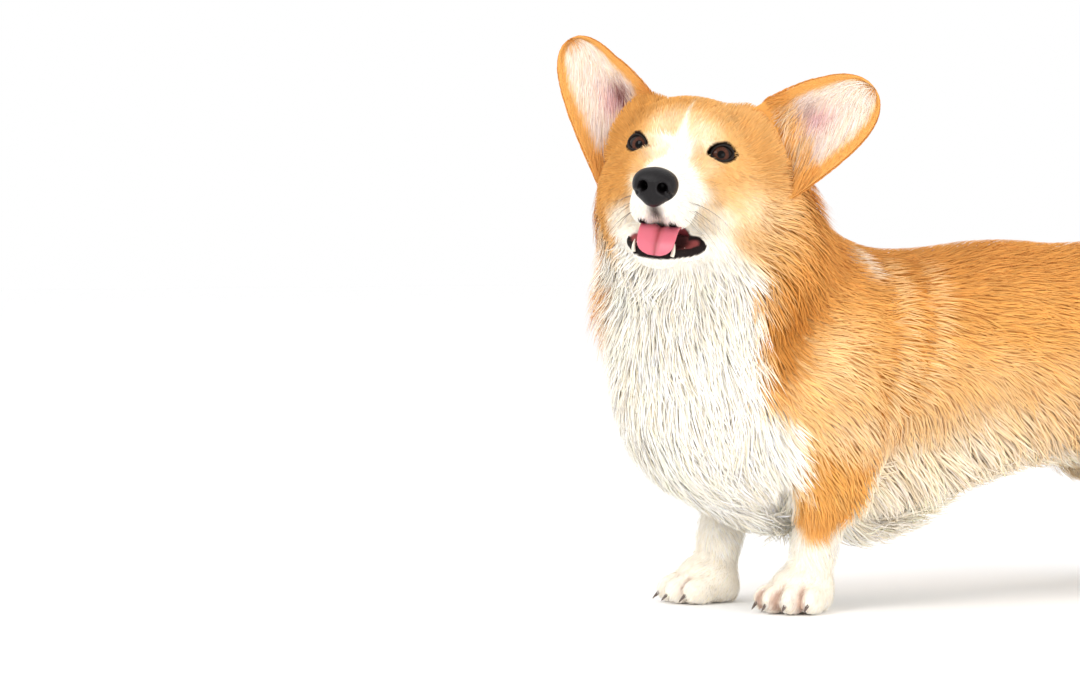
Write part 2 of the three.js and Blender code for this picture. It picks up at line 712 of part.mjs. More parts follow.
const finish = (color, roughness, metalness = 0) => new THREE.MeshStandardMaterial({ color, roughness, metalness });
const redCoat = finish(0xd08a3e, 0.9);
const whiteCoat = finish(0xf1ece2, 0.9);
const noseLeather = finish(0x2b2729, 0.42);
const eyeGlass = finish(0x2a1710, 0.08);
const tongueFlesh = finish(0xc4607a, 0.4);
const lipSkin = finish(0xe9e2d6, 0.85);
const clawHorn = finish(0x8c7768, 0.45);

// Pieces

const root = new THREE.Group();
const add = (name, solid, material) => root.add(meshOf(name, solid, material));

const coreCell = { head: 10.7, trunk: 26, limb: 21, shank: 15.5, paw: 9.5 };

// Head, parted from the neck behind the cheeks, with its eyes, nose, mouth and ears
const headBox = boxFrom([-150, -130, -150], [104, 140, 74]);
const bodyInHead = (p) => body(p.clone().applyMatrix4(headFrame));
const headWhole = together([
  solidOf(inHead(surfaceOf(bodyInHead, headBox, coreCell.head))), ...cheekLocks,
]);
const headGrown = solidOf(inHead(surfaceOf(bodyInHead, headBox, coreCell.head, 0.8)));
const lids = bothSides((s) => [eyeSolid(s, eyeRadius + 1.7, [14, 9])]);
const sockets = bothSides((s) => [eyeSolid(s, eyeRadius + gap), lidOpening(s)]);
const ahead = beyond(headPlane.point, headPlane.normal, gap / 2);
const mouth = gape();
const tongue = tongueSolid();
const tongueRoom = tongueSolid(0.5);

const jawRegion = (grow) => {
  const outline = new THREE.Shape();
  outline.moveTo(mouthCorner.x + 5 - grow, -66);
  outline.lineTo(110, -58);
  outline.lineTo(110, -125);
  outline.lineTo(mouthCorner.x + 5 - grow, -125);
  const geometry = new THREE.ExtrudeGeometry(outline, { depth: 140, bevelEnabled: false });
  return solidOf(inHead(geometry.rotateX(Math.PI / 2).translate(0, 70, 0)));
};

const skull = together([headWhole, ...lids]).subtract(together(sockets)).subtract(mouth)
  .subtract(noseSolid(0.5, 4.4, false)).intersect(ahead);
const jaw = largest(skull.intersect(jawRegion(0)));
const upperHead = largest(skull.subtract(jawRegion(gap)));

add('head', upperHead.subtract(tongueRoom), redCoat);
add('lower_jaw', together([jaw, ...teeth]).subtract(tongueRoom), lipSkin);
add('tongue', tongue, tongueFlesh);
add('nose', noseSolid(0, 4.4, true), noseLeather);
for (const [name, side] of [['left', 1], ['right', -1]]) {
  add('eye_' + name, eyeSolid(side, eyeRadius), eyeGlass);
  add('ear_' + name, earSolid(side).subtract(headGrown), redCoat);
}

// Neck, chest, loin and rump
const trunkBox = boxFrom([-350, -130, 40], [300, 130, 440]);
const trunkWhole = together([solidOf(surfaceOf(body, trunkBox, coreCell.trunk)), ...bodyLocks]);
const limbRooms = together(bothSides((s) => [foreRegion(s, gap), hindRegion(s, gap)]));
const aboveNeckPlane = (shift) => beyond(neckPlane.point, neckPlane.normal, shift);
const behindHead = beyond(headPlane.point, headPlane.normal.clone().negate(), gap / 2);
const torso = trunkWhole.subtract(aboveNeckPlane(-gap / 2)).subtract(limbRooms);

add('neck', trunkWhole.intersect(aboveNeckPlane(gap / 2)).intersect(behindHead)
  .subtract(limbRooms).subtract(together(bothSides((s) => [earSolid(s, 0.6)]))), redCoat);
add('chest', torso.intersect(beyondX(chestBack, gap / 2)), whiteCoat);
add('loin', torso.subtract(beyondX(chestBack, -gap / 2)).intersect(beyondX(loinBack, gap / 2)), redCoat);
const tailPlane = { point: vec(-308, 0, 230), normal: vec(-0.9, 0, -0.3) };
const tailEnd = (shift) => beyond(tailPlane.point, tailPlane.normal, shift);
add('rump', torso.subtract(beyondX(loinBack, -gap / 2)).subtract(tailEnd(-gap / 2)), redCoat);

// Tail
const tailBox = boxFrom([-370, -50, 170], [-270, 50, 280]);
const tailWhole = together([solidOf(surfaceOf(body, tailBox, 13)), ...tailLocks]);
add('tail', tailWhole.intersect(tailEnd(gap / 2)), redCoat);

// Limbs, each in an upper part, a lower part and a paw with its claws
const above = (height, shift = 0) => beyond(vec(0, 0, height), vec(0, 0, 1), shift);
const floorUp = above(soleLevel);
const limbCuts = { fore: { upper: 104, wrist: 37 }, hind: { upper: 108, wrist: 34 } };

for (const [sideName, side] of [['left', 1], ['right', -1]]) {
  for (const [end, region, x] of [['fore', foreRegion, 116], ['hind', hindRegion, -240]]) {
    const cut = limbCuts[end];
    const yRange = side > 0 ? [-10, 130] : [-130, 10];
    const upperBox = boxFrom([x - 110, yRange[0], 70], [x + 110, yRange[1], 310]);
    const lowerBox = boxFrom([x - 90, yRange[0], 10], [x + 100, yRange[1], 140]);
    const upper = solidOf(surfaceOf(body, upperBox, coreCell.limb)).intersect(region(side));
    const lower = solidOf(surfaceOf(body, lowerBox, coreCell.shank)).intersect(region(side));
    add(`${end}leg_${sideName}_upper`, upper.intersect(above(cut.upper, gap / 2)), redCoat);
    add(`${end}leg_${sideName}_lower`,
      lower.subtract(above(cut.upper, -gap / 2)).intersect(above(cut.wrist, gap / 2)), whiteCoat);
  }
}

for (const paw of pawPlaces) {
  const [x, y] = paw.at;
  const box = boxFrom([x - 60, y - 50, -20], [x + 62, y + 50, 60]);
  const whole = solidOf(surfaceOf(body, box, coreCell.paw)).subtract(above(
    paw.name.startsWith('fore') ? limbCuts.fore.wrist : limbCuts.hind.wrist, -gap / 2)).intersect(floorUp);
  const claws = toes.map((toe, i) => {
    const reach = toe.ahead + toe.radii[0] - 3.5;
    const rootAt = vec(...onPaw(paw, reach - 4, toe.aside * 1.12, 10.5));
    const tipAt = vec(...onPaw(paw, reach + 6, toe.aside * 1.2, 3.2));
    return { name: `claw_${paw.name}_${i + 1}`, solid: (grow) => solidOf(
      spike(rootAt, tipAt, vec(0, 0, 2.4), 2.3 + grow)) };
  });
  const room = together(claws.map((claw) => claw.solid(0.4)));
  add('paw_' + paw.name, whole.subtract(room), whiteCoat);
  for (const claw of claws) add(claw.name, claw.solid(0), clawHorn);
}

// The origin is on the floor under the middle of the whole animal.
const middle = new THREE.Box3().setFromObject(root).getCenter(vec(0, 0, 0));
root.position.set(-middle.x, -middle.y, 0);
root.updateMatrixWorld(true);

export default root;
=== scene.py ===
import bmesh
import bpy
import numpy as np
from mathutils import Matrix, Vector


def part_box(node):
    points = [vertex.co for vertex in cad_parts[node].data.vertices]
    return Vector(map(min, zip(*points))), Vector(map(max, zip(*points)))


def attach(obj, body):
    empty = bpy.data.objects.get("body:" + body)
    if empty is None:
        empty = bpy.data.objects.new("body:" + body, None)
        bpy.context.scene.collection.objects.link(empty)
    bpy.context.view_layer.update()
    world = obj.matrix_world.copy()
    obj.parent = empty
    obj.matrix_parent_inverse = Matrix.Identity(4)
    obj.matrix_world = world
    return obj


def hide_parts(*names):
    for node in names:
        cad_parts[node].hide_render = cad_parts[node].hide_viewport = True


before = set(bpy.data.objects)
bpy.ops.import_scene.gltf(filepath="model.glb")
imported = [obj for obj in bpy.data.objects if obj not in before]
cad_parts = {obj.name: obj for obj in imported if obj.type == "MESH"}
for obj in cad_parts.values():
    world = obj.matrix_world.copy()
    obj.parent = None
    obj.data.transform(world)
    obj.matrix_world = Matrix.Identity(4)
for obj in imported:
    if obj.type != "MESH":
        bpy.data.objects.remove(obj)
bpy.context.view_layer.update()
rng = np.random.default_rng(11)


def norm(v):  # the length of each vector
    return np.linalg.norm(v, axis=-1)


def unit(v):  # each vector over its length
    return v / np.maximum(norm(v)[..., None], 1e-9)


def ramp(value, low, high):  # 0 below low, 1 above high, smooth between
    t = np.clip((value - low) / (high - low), 0, 1)
    return t * t * (3 - 2 * t)


def turned(x, y, z):  # the matrix of turns in degrees about x, then y, then z
    cx, cy, cz = np.cos(np.radians([x, y, z]))
    sx, sy, sz = np.sin(np.radians([x, y, z]))
    aboutX = np.array([[1, 0, 0], [0, cx, -sx], [0, sx, cx]])
    aboutY = np.array([[cy, 0, sy], [0, 1, 0], [-sy, 0, cy]])
    aboutZ = np.array([[cz, -sz, 0], [sz, cz, 0], [0, 0, 1]])
    return aboutZ @ aboutY @ aboutX


# The head's own frame: its origin midway between the eyes, x along the muzzle
headPose = {"at": (232, 68, 361), "yaw": 51, "pitch": 1, "roll": -7.2}
headAt = np.array(headPose["at"], float)
headTurn = turned(headPose["roll"], -headPose["pitch"], headPose["yaw"])
eyes = {"ahead": -7.4, "aside": 28.6, "height": -2.8, "radius": 12.4, "openLength": 13.6, "openTop": 7.8,
        "openLow": 6.6, "solidAhead": -7}


def intoHead(p):  # from the animal's frame into the head's
    return (p - headAt) @ headTurn


def fromHead(h):  # from the head's frame back into the animal's, by the inverse turn
    return np.asarray(h, float) @ headTurn.T + headAt


eyeMiddle = np.mean([np.mean(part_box(n), axis=0) for n in ("eye_left", "eye_right")], axis=0) * 1000
toModel = eyeMiddle - fromHead([eyes["solidAhead"], 0, 0])
print("moved by", toModel.round(2))


# Forms. Each has a value that is negative inside it and grows about a millimetre per millimetre.


def ellipsoid(at, radii, blend=14, turn=(0, 0, 0)):
    # r (r - 1) over the length of q / radii squared, where r is the length of q / radii: about the distance
    at, radii, back = np.array(at, float), np.array(radii, float), turned(*turn)

    def value(p):
        q = (p - at) @ back
        reach = norm(q / radii)
        return reach * (reach - 1) / np.maximum(norm(q / radii**2), 1e-9)

    return value, blend


def limb(start, end, startRadius, endRadius, blend=12):
    # the distance from a line, less a radius that goes evenly from one end's to the other's
    start = np.array(start, float)
    along = np.array(end, float) - start

    def value(p):
        q = p - start
        t = np.clip(q @ along / (along @ along), 0, 1)
        return norm(q - t[..., None] * along) - (startRadius + (endRadius - startRadius) * t)

    return value, blend


def smoothMin(a, b, blend):
    # the lesser of two values, less a quarter of the blend times the square of how far they overlap in it
    h = np.maximum(blend - np.abs(a - b), 0) / blend
    return np.minimum(a, b) - h * h * blend / 4


def joined(forms):  # one form after the other, each blended into those before it
    def value(p):
        total = forms[0][0](p)
        for form, blend in forms[1:]:
            total = smoothMin(total, form(p), blend)
        return total

    return value


both = (1, -1)
foreFeet = {1: (114, 48), -1: (144, -52)}  # where each foot stands, by side
hindFeet = {1: (-272, 62), -1: (-298, -62)}

trunkForms = [
    ellipsoid((66, 0, 190), (150, 92, 95)),
    ellipsoid((-100, 0, 206), (175, 82, 84), 30),
    ellipsoid((-222, 0, 200), (98, 84, 88), 30),
    ellipsoid((152, 0, 180), (72, 74, 82), 30),
    ellipsoid((98, 0, 238), (80, 54, 48), 30),
]
neckForm = limb((122, 0, 222), (176, 22, 322), 84, 62, 34)
coatForms = [
    limb((150, -9, 250), (172, -10, 312), 88, 70, 22),
    ellipsoid((154, 0, 178), (80, 80, 90), 22),
    ellipsoid((118, 0, 114), (48, 34, 48), 20),
    limb((30, 0, 116), (-120, 0, 168), 50, 44, 24),
] + [ellipsoid((-258, s * 44, 160), (52, 40, 66), 22) for s in both]


def foreLimb(side):  # the forms of a foreleg, from the shoulder down a line to its foot
    footX, footY = foreFeet[side]
    wristX, upperX = footX - 14, 96 + (footX - 129) * 0.4
    return [
        ellipsoid((upperX + 14, side * 62, 176), (50, 36, 76), 20, (0, -12, 0)),
        ellipsoid((upperX, side * 66, 132), (42, 29, 44), 18),
        limb((upperX + 4, side * 64, 116), (wristX, footY - side, 50), 29, 18, 16),
        limb((wristX, footY - side, 50), (wristX + 6, footY, 22), 18, 18, 10),
    ]


def hindLimb(side):  # the forms of a hind leg, the knee ahead of its foot
    footX, footY = hindFeet[side]
    kneeX = footX + 60
    return [
        ellipsoid((kneeX - 18, side * 60, 172), (62, 37, 86), 20),
        ellipsoid((kneeX - 6, side * 66, 136), (36, 26, 42), 18),
        limb((kneeX - 12, side * 67, 122), (footX - 24, footY + side, 78), 31, 17.5, 18),
        limb((footX - 24, footY + side, 78), (footX - 12, footY, 24), 17, 16, 10),
    ]


toes = [(11, 20, 18), (19, 7.6, 19), (19, -7.6, 19), (11, -20, 18)]  # ahead, aside, half length
paws = [
    {"at": foreFeet[1], "heading": 27, "size": 1, "name": "fore_left"},
    {"at": foreFeet[-1], "heading": -6, "size": 1, "name": "fore_right"},
    {"at": hindFeet[1], "heading": 8, "size": 0.94, "name": "hind_left"},
    {"at": hindFeet[-1], "heading": -8, "size": 0.94, "name": "hind_right"},
]


def onPaw(paw, ahead, aside, height):  # a place on a paw, turned to its heading
    turn = np.radians(paw["heading"])
    x = paw["at"][0] + paw["size"] * (ahead * np.cos(turn) - aside * np.sin(turn))
    y = paw["at"][1] + paw["size"] * (ahead * np.sin(turn) + aside * np.cos(turn))
    return np.array([x, y, height])


def pawForms(paw):  # the pad and heel, and a rounded form for each toe
    size, heading = paw["size"], paw["heading"]
    return [
        ellipsoid(onPaw(paw, -3, 0, 18), np.array([26, 25, 21]) * size, 8, (0, 0, heading)),
        ellipsoid(onPaw(paw, -14, 0, 9), (15, 19, 12), 8, (0, 0, heading)),
    ] + [
        ellipsoid(
            onPaw(paw, ahead, aside, 11),
            np.array([half, 9, 13 if abs(aside) < 10 else 12]) * size,
            4,
            (0, 0, heading + aside * 0.5),
        )
        for ahead, aside, half in toes
    ]


tailForm = limb((-290, 0, 240), (-330, 0, 218), 24, 13, 20)

skullForms = (
    [ellipsoid((-50, 0, 0), (60, 50, 42)), ellipsoid((-20, 0, 10), (34, 37, 24), 16)]
    + [
        form
        for s in both
        for form in (
            ellipsoid((-8, s * 22, 8), (15, 13, 10), 10),
            ellipsoid((0, s * 27, -20), (25, 14, 17), 14),
            ellipsoid((-36, s * 38, -38), (42, 28, 38), 18),
            ellipsoid((-58, s * 48, 10), (18, 18, 34), 16, (s * 24, 0, 0)),
        )
    ]
    + [limb((6, 0, -29), (66, 0, -34), 26, 17.5, 16)]
    + [ellipsoid((40, s * 11.5, -46), (29, 13, 16), 8) for s in both]
    + [limb((-34, 0, -68), (40, 0, -80), 24, 12, 14)]
    + [limb((-14, s * 31, -71), (48, s * 8, -79), 9, 9.5, 8) for s in both]
    + [ellipsoid((46, 0, -80), (15, 14, 9), 8), ellipsoid((-58, 0, -58), (50, 52, 46), 24)]
)
skullField = joined(skullForms)
headForm = (lambda p: skullField(intoHead(p)), 22)
limbForms = [form for s in both for form in foreLimb(s) + hindLimb(s)]
body = joined(
    trunkForms
    + [neckForm]
    + coatForms
    + [headForm]
    + limbForms
    + [form for paw in paws for form in pawForms(paw)]
    + [tailForm]
)


def slope(field, p, step=0.6):  # the way the field grows, from four points round p
    corners = np.array([[1, 1, 1], [1, -1, -1], [-1, 1, -1], [-1, -1, 1]]) * step
    return sum(c * field(p + c)[..., None] for c in corners) / (4 * step * step)


def toLevel(field, p, level, rounds=2):  # p moved along the slope to where the field has that value
    for _ in range(rounds):
        g = slope(field, p)
        p = p + g * ((level - field(p)) / np.maximum((g * g).sum(-1), 0.1))[..., None]
    return p


# Regions of the head and body, as shares between 0 and 1


headReach = 130  # the head's fine work lies within this of its origin


def headShare(h):  # 1 in front of a slanting plane behind the ears
    return ramp((h[..., 0] + 78) * 0.9 + h[..., 2] * 0.43, -8, 22)


def muzzleShare(h):  # 1 ahead of the eyes, sooner in the middle than at the sides
    return headShare(h) * ramp(h[..., 0] - 0.25 * np.abs(h[..., 1]), -6, 22)


def pawShare(p):  # 1 near the floor
    return 1 - ramp(p[..., 2], 26, 46)


def legShare(p):  # 1 below the elbows and knees, away from the middle
    aside = ramp(np.abs(p[..., 1]), 16, 30)
    return aside * (1 - ramp(p[..., 2], 70, 118))


def coatDepth(p, h):  # how far the skin lies under the outer surface of the solids
    head = headShare(h)
    cheek = ramp(-h[..., 0], 10, 55) * ramp(-h[..., 2] + 12, -10, 40)
    onHead = 1.2 + 1.2 * ramp(-h[..., 0], -10, 40) + 3.2 * cheek
    onBody = 5.0 - 2.4 * legShare(p) - 1.2 * pawShare(p)
    long = ramp(p[..., 0], 95, 140) + ramp(-p[..., 2] - 0.3 * p[..., 0], -140, -100) + ramp(-p[..., 0], 235, 270)
    onBody = onBody * (1 - 0.75 * np.clip(long, 0, 1) * (1 - legShare(p)))
    return onBody + (onHead - onBody) * head


def eyeBasis(side):  # across the opening, up, and out of it
    out = unit(np.array([0.86, side * 0.46, 0.22]))
    up = unit(np.array([0, 0, 1]) - out * out[2])
    tilt = np.radians(9) * side
    across = np.cross(up, out)
    return across * np.cos(tilt) + up * np.sin(tilt), up * np.cos(tilt) - across * np.sin(tilt), out


def eyeCentre(side):  # in the head's frame
    return np.array([eyes["ahead"], side * eyes["aside"], eyes["height"]])


def eyeOpening(h, side, grow=0.0):  # negative in front of the eye, between the lids
    e = h - eyeCentre(side)
    a, b, c = (e @ axis for axis in eyeBasis(side))
    half = eyes["openLength"]
    share = np.clip(1 - (a / (half + grow)) ** 2, 0, 1)
    top, low = eyes["openTop"] * share**0.75, eyes["openLow"] * share**0.85
    return np.maximum.reduce([b - top - grow, -b - low - grow, np.abs(a) - half - grow, 1 - c])


mouthPath = {  # heights of the mouth's edges at places along the muzzle, from the corner to the front
    "ahead": (6, 9, 14, 26, 50, 60, 70, 80),
    "upper": (-60, -60.5, -61.5, -62.5, -61, -58, -54, -49),
    "lower": (-63, -68, -71.5, -74.5, -77, -79, -81, -82),
}


def mouthLines(x):  # heights of the upper and the lower lip, between the path's points
    upper = np.interp(x, mouthPath["ahead"], mouthPath["upper"])
    return upper, np.interp(x, mouthPath["ahead"], mouthPath["lower"])


def mouthCorner(h):  # further back on the left side, as the head is turned
    return 7 - 0.25 * np.minimum(h[..., 1], 0)


def mouthOpening(h):  # negative between the jaws
    upper, lower = mouthLines(h[..., 0])
    return np.maximum.reduce([h[..., 2] - upper, lower - h[..., 2], mouthCorner(h) - h[..., 0]])


def mouthInside(h):  # the flesh behind the gums, which closes the mouth's hollow
    return (norm((h - [2, 0, -68]) / [34, 17, 18]) - 1) * 17


noseAt = np.array([73.5, -1.2, -30.5])
noseForms = [
    ellipsoid(noseAt + [0, 0, 2], (13.5, 15.6, 11.5)),
    ellipsoid(noseAt + [4.5, 0, -6], (9, 10, 10.5), 6),
] + [ellipsoid(noseAt + [3, s * 8.6, -0.5], (10, 8, 9.5), 5) for s in both]
noseHollows = [
    form
    for s in both
    for form in (
        limb(noseAt + [3, s * 5.4, 0], noseAt + [20, s * 9, -3], 3.4, 4.0, 3),
        limb(noseAt + [7, s * 12.4, -7], noseAt + [16, s * 8.8, -4], 1.6, 2.6, 3),
        limb(noseAt + [0, s * 18.5, -8], noseAt + [10, s * 12.5, -7], 1.1, 1.6, 2),
    )
] + [limb(noseAt + [15.5, 0, -1], noseAt + [13, 0, -20], 1.1, 1.6, 2)]
noseBody, noseHole = joined(noseForms), joined(noseHollows)


def skinField(p):
    # The body less the coat's depth, with the eyeballs' bulge added, and then the openings between the lids,
    # the seat of the nose, the mouth's hollow and the floor cut away.
    h = intoHead(p)
    value = body(p) + coatDepth(p, h)
    near = norm(h) < headReach
    if near.any():
        q, v = h[near], value[near]
        for s in both:
            v = smoothMin(v, norm(q - eyeCentre(s)) - eyes["radius"] - 1.3, 4)
        for s in both:
            v = np.maximum(v, -eyeOpening(q, s))
        v = np.maximum(v, -noseBody(q) - 2)
        value[near] = np.maximum(v, np.minimum(-mouthOpening(q), mouthInside(q)))
    return np.maximum(value, 0.6 - p[..., 2])


# Surfaces from a field: a vertex in each crossed cube of a grid, settled on the surface by its slope


def gridSurface(field, low, high, cell, settle=2):
    # Each crossed cube's vertex is the mean of the places where the field is nil on its edges. Each edge of
    # the grid that crosses the surface makes a quad of the four vertices round it.
    axes = [np.arange(a, b + cell, cell) for a, b in zip(low, high)]
    shape = tuple(len(a) for a in axes)
    values = np.empty(shape, np.float32)
    for i, x in enumerate(axes[0]):
        yz = np.stack(np.meshgrid([x], axes[1], axes[2], indexing="ij"), -1)[0]
        values[i] = field(yz)
    inside = values < 0
    count = np.zeros(tuple(n - 1 for n in shape), np.int8)
    corners = [(i, j, k) for i in (0, 1) for j in (0, 1) for k in (0, 1)]
    for i, j, k in corners:
        count += inside[i : shape[0] - 1 + i, j : shape[1] - 1 + j, k : shape[2] - 1 + k]
    active = np.argwhere((count > 0) & (count < 8))
    at = np.stack([values[tuple((active + c).T)] for c in corners], 1)
    total, hits = np.zeros((len(active), 3)), np.zeros(len(active))
    for a, ca in enumerate(corners):
        for b, cb in enumerate(corners):
            if b <= a or sum(abs(x - y) for x, y in zip(ca, cb)) != 1:
                continue
            crossed = (at[:, a] < 0) != (at[:, b] < 0)
            t = np.where(crossed, at[:, a] / np.where(crossed, at[:, a] - at[:, b], 1), 0)
            place = np.array(ca) + t[:, None] * (np.array(cb) - np.array(ca))
            total += place * crossed[:, None]
            hits += crossed
    points = (active + total / hits[:, None]) * cell + np.array([a[0] for a in axes])
    settled = toLevel(field, points, 0, settle)
    shift = settled - points
    points = points + shift * np.minimum(1, 0.6 * cell / np.maximum(norm(shift), 1e-9))[:, None]
    index = np.full(tuple(n - 1 for n in shape), -1, np.int64)
    index[tuple(active.T)] = np.arange(len(active))
    quads = []
    for axis in range(3):
        lowSide = [slice(1, n - 1) for n in shape]
        nextSide = list(lowSide)
        nextSide[axis] = slice(2, shape[axis])
        here, there = inside[tuple(lowSide)], inside[tuple(nextSide)]
        cells = np.argwhere(here != there) + 1
        b, c = np.eye(3, dtype=int)[(axis + 1) % 3], np.eye(3, dtype=int)[(axis + 2) % 3]
        quad = np.stack([index[tuple((cells - o).T)] for o in (0 * b, b, b + c, c)], 1)
        flip = ~inside[tuple(cells.T)]
        quad[flip] = quad[flip][:, ::-1]
        quads.append(quad)
    return points, np.concatenate(quads)


# Blender objects from arrays


def toLinear(colour):  # from a colour as it is seen on a screen to the light's own amounts
    c = np.asarray(colour, float)
    return np.where(c <= 0.04045, c / 12.92, ((c + 0.055) / 1.055) ** 2.4)


def facesOut(points, faces):  # whether the faces look out of the surface, by the sign of its volume
    a, b, c = (points[faces[:, k]] for k in (0, 1, 2))
    volume = (a * np.cross(b, c)).sum()
    if faces.shape[1] == 4:
        volume += (a * np.cross(c, points[faces[:, 3]])).sum()
    return volume >= 0


def meshPiece(name, points, faces, material, colours=None, uvs=None, smooth=True, place=True, normals=None):
    # Colours go to the points, uvs and normals to the faces' corners. Place moves millimetres into the model.
    faces = np.asarray(faces)
    sides = faces.shape[1]
    if not facesOut(points - points.mean(0), faces):
        faces = faces[:, ::-1]
        uvs = None if uvs is None else uvs.reshape(-1, sides, 2)[:, ::-1]
        normals = None if normals is None else normals.reshape(-1, sides, 3)[:, ::-1]
    mesh = bpy.data.meshes.new(name)
    mesh.vertices.add(len(points))
    placed = (points + toModel) / 1000 if place else points
    mesh.vertices.foreach_set("co", placed.astype(np.float32).ravel())
    mesh.loops.add(faces.size)
    mesh.loops.foreach_set("vertex_index", faces.astype(np.int32).ravel())
    mesh.polygons.add(len(faces))
    mesh.polygons.foreach_set("loop_start", np.arange(0, faces.size, sides, dtype=np.int32))
    mesh.polygons.foreach_set("loop_total", np.full(len(faces), sides, np.int32))
    mesh.polygons.foreach_set("use_smooth", np.full(len(faces), smooth))
    mesh.update(calc_edges=True)
    if colours is not None:
        layer = mesh.color_attributes.new("markings", "FLOAT_COLOR", "POINT")
        rgba = np.concatenate([toLinear(colours), np.ones((len(points), 1))], 1)
        layer.data.foreach_set("color", rgba.astype(np.float32).ravel())
    if uvs is not None:
        mesh.uv_layers.new(name="OFBake").data.foreach_set("uv", uvs.astype(np.float32).ravel())
    if normals is not None:
        mesh.normals_split_custom_set(normals.reshape(-1, 3).astype(np.float32))
    obj = bpy.data.objects.new(name, mesh)
    bpy.context.scene.collection.objects.link(obj)
    mesh.materials.append(material)
    return obj


def facePatch(rows, columns):  # quads of a grid whose columns make a ring
    r, c = np.meshgrid(np.arange(rows - 1), np.arange(columns), indexing="ij")
    a, b = r * columns + c, r * columns + (c + 1) % columns
    return np.stack([a, b, b + columns, a + columns], -1).reshape(-1, 4)


def halved(quads):  # each quad as two triangles
    return np.concatenate([quads[:, [0, 1, 2]], quads[:, [0, 2, 3]]])


def newMaterial(name, settings, attribute=False, bump=None):  # its colour from the markings if attribute is set
    material = bpy.data.materials.new(name)
    material.use_nodes = True
    nodes, links = material.node_tree.nodes, material.node_tree.links
    shader = nodes["Principled BSDF"]
    for socket, value in settings.items():
        shader.inputs[socket].default_value = value
    if attribute:
        colour = nodes.new("ShaderNodeVertexColor")
        colour.layer_name = "markings"
        links.new(colour.outputs["Color"], shader.inputs["Base Color"])
    if bump:
        coordinates, noise = nodes.new("ShaderNodeTexCoord"), nodes.new("ShaderNodeTexNoise")
        noise.inputs["Scale"].default_value = bump["scale"]
        noise.inputs["Detail"].default_value = bump.get("detail", 3)
        bumpNode = nodes.new("ShaderNodeBump")
        bumpNode.inputs["Strength"].default_value = bump["strength"]
        bumpNode.inputs["Distance"].default_value = bump["distance"]
        links.new(coordinates.outputs["Object"], noise.inputs["Vector"])
        links.new(noise.outputs["Fac"], bumpNode.inputs["Height"])
        links.new(bumpNode.outputs["Normal"], shader.inputs["Normal"])
    return material


# Markings. The same function colours the skin and the coat.

tones = {
    "red": (0.90, 0.655, 0.355),
    "deepRed": (0.80, 0.525, 0.25),
    # the next tone is painted shade, for creases
    "paintedShadeRed": (0.72, 0.44, 0.17),
    "paleRed": (0.955, 0.80, 0.585),
    "cream": (0.975, 0.90, 0.79),
    "white": (0.98, 0.955, 0.91),
    "faceRed": (0.875, 0.655, 0.38),
    "faceDeep": (0.785, 0.545, 0.275),
    "liner": (0.13, 0.09, 0.08),
    "lip": (0.12, 0.09, 0.09),
    "gum": (0.62, 0.32, 0.32),
    # the next tone is painted shade, for the depth of the mouth
    "throat": (0.17, 0.07, 0.07),
    "toe": (0.66, 0.46, 0.38),
    "earSkin": (0.89, 0.79, 0.745),
    "earHollowShade": (0.40, 0.20, 0.19),
    "earFlush": (0.80, 0.55, 0.56),
}
tone = {name: np.array(value) for name, value in tones.items()}


def wander(p, scale, seed):  # a smooth, irregular value between about -1 and 1
    q = p / scale + seed
    a = np.sin(q[..., 0] * 1.7 + 1.3 * np.sin(q[..., 1] * 1.1 + q[..., 2] * 0.7))
    b = np.sin(q[..., 1] * 2.1 + 1.1 * np.sin(q[..., 2] * 1.6 + q[..., 0] * 0.9) + seed)
    c = np.sin(q[..., 2] * 1.9 + 1.2 * np.sin(q[..., 0] * 1.3 - q[..., 1] * 0.8))
    return (a + b + c) / 3


def blendTo(colour, other, share):  # the share of the way from one colour to another
    return colour + (other - colour) * share[..., None]


bibEdges = {  # how far round the chest the white reaches, in degrees, at heights from the floor up
    "height": (87, 105, 124, 154, 178, 189, 222, 249, 300),
    "near": (78, 75, 79, 71, 60, 49, 54, 60, 58),
    "far": (-78, -75, -79, -70, -56, -40, -20, -16, -18),
}
faceEdge = {  # how far forward the red of the cheek reaches at heights of the head
    "height": (-90, -76, -60, -47, -37, -22, -14, -4, 6),
    "ahead": (-42, -24, -5, 4, 14, 31, 27, 15, 10),
}
legPatch = {"height": (56, 76, 122, 150), "back": (104, 88, 74, 60)}  # the hind edge of the foreleg's red
blazeWidths = {"height": (-4, 8, 18, 32, 44), "half": (8.5, 4.5, 2.0, 0.6, -0.6)}
folds = [((267, 48), (147, 71)), ((266, 10), (181, 35))]  # the creases behind the near shoulder: height, x


def foldShare(p, shift=0.0, width=4.5):  # 1 along the creases
    share = np.zeros(p.shape[:-1])
    for (z0, x0), (z1, x1) in folds:
        line = x0 + (x1 - x0) * (z0 - p[..., 2]) / (z0 - z1) + shift
        share += np.exp(-(((p[..., 0] - line) / width) ** 2)) * ramp(p[..., 2], 120, 170)
    return share * ramp(p[..., 1], 20, 50)


def toeCrease(p):  # 1 in the gaps between the toes
    share = np.zeros(p.shape[:-1])
    for paw in paws:
        near = norm(p[..., :2] - np.array(paw["at"])) < 50
        if not near.any():
            continue
        q = p[near]
        gaps = [norm((q - onPaw(paw, ahead, aside, 11)) / [12, 9, 12]) for ahead, aside, _ in toes]
        gaps = np.sort(np.stack(gaps), 0)
        crease = np.exp(-((((gaps[1] - gaps[0]) * 9) / 2.4) ** 2)) * (1 - ramp(q[:, 2], 17, 27))
        share[near] = crease * (gaps[0] < 1.5)
    return share


def insideMouth(p, h):  # how deep in the hollow of the mouth a point of the skin lies
    near = (norm(h) < headReach) & (mouthOpening(h) < 2)
    share = np.zeros(p.shape[:-1])
    share[near] = ramp(-(body(p[near]) + coatDepth(p[near], h[near])), 0.9, 3)
    return np.maximum(share, near * ramp(-mouthOpening(h), 0.3, 1.2))


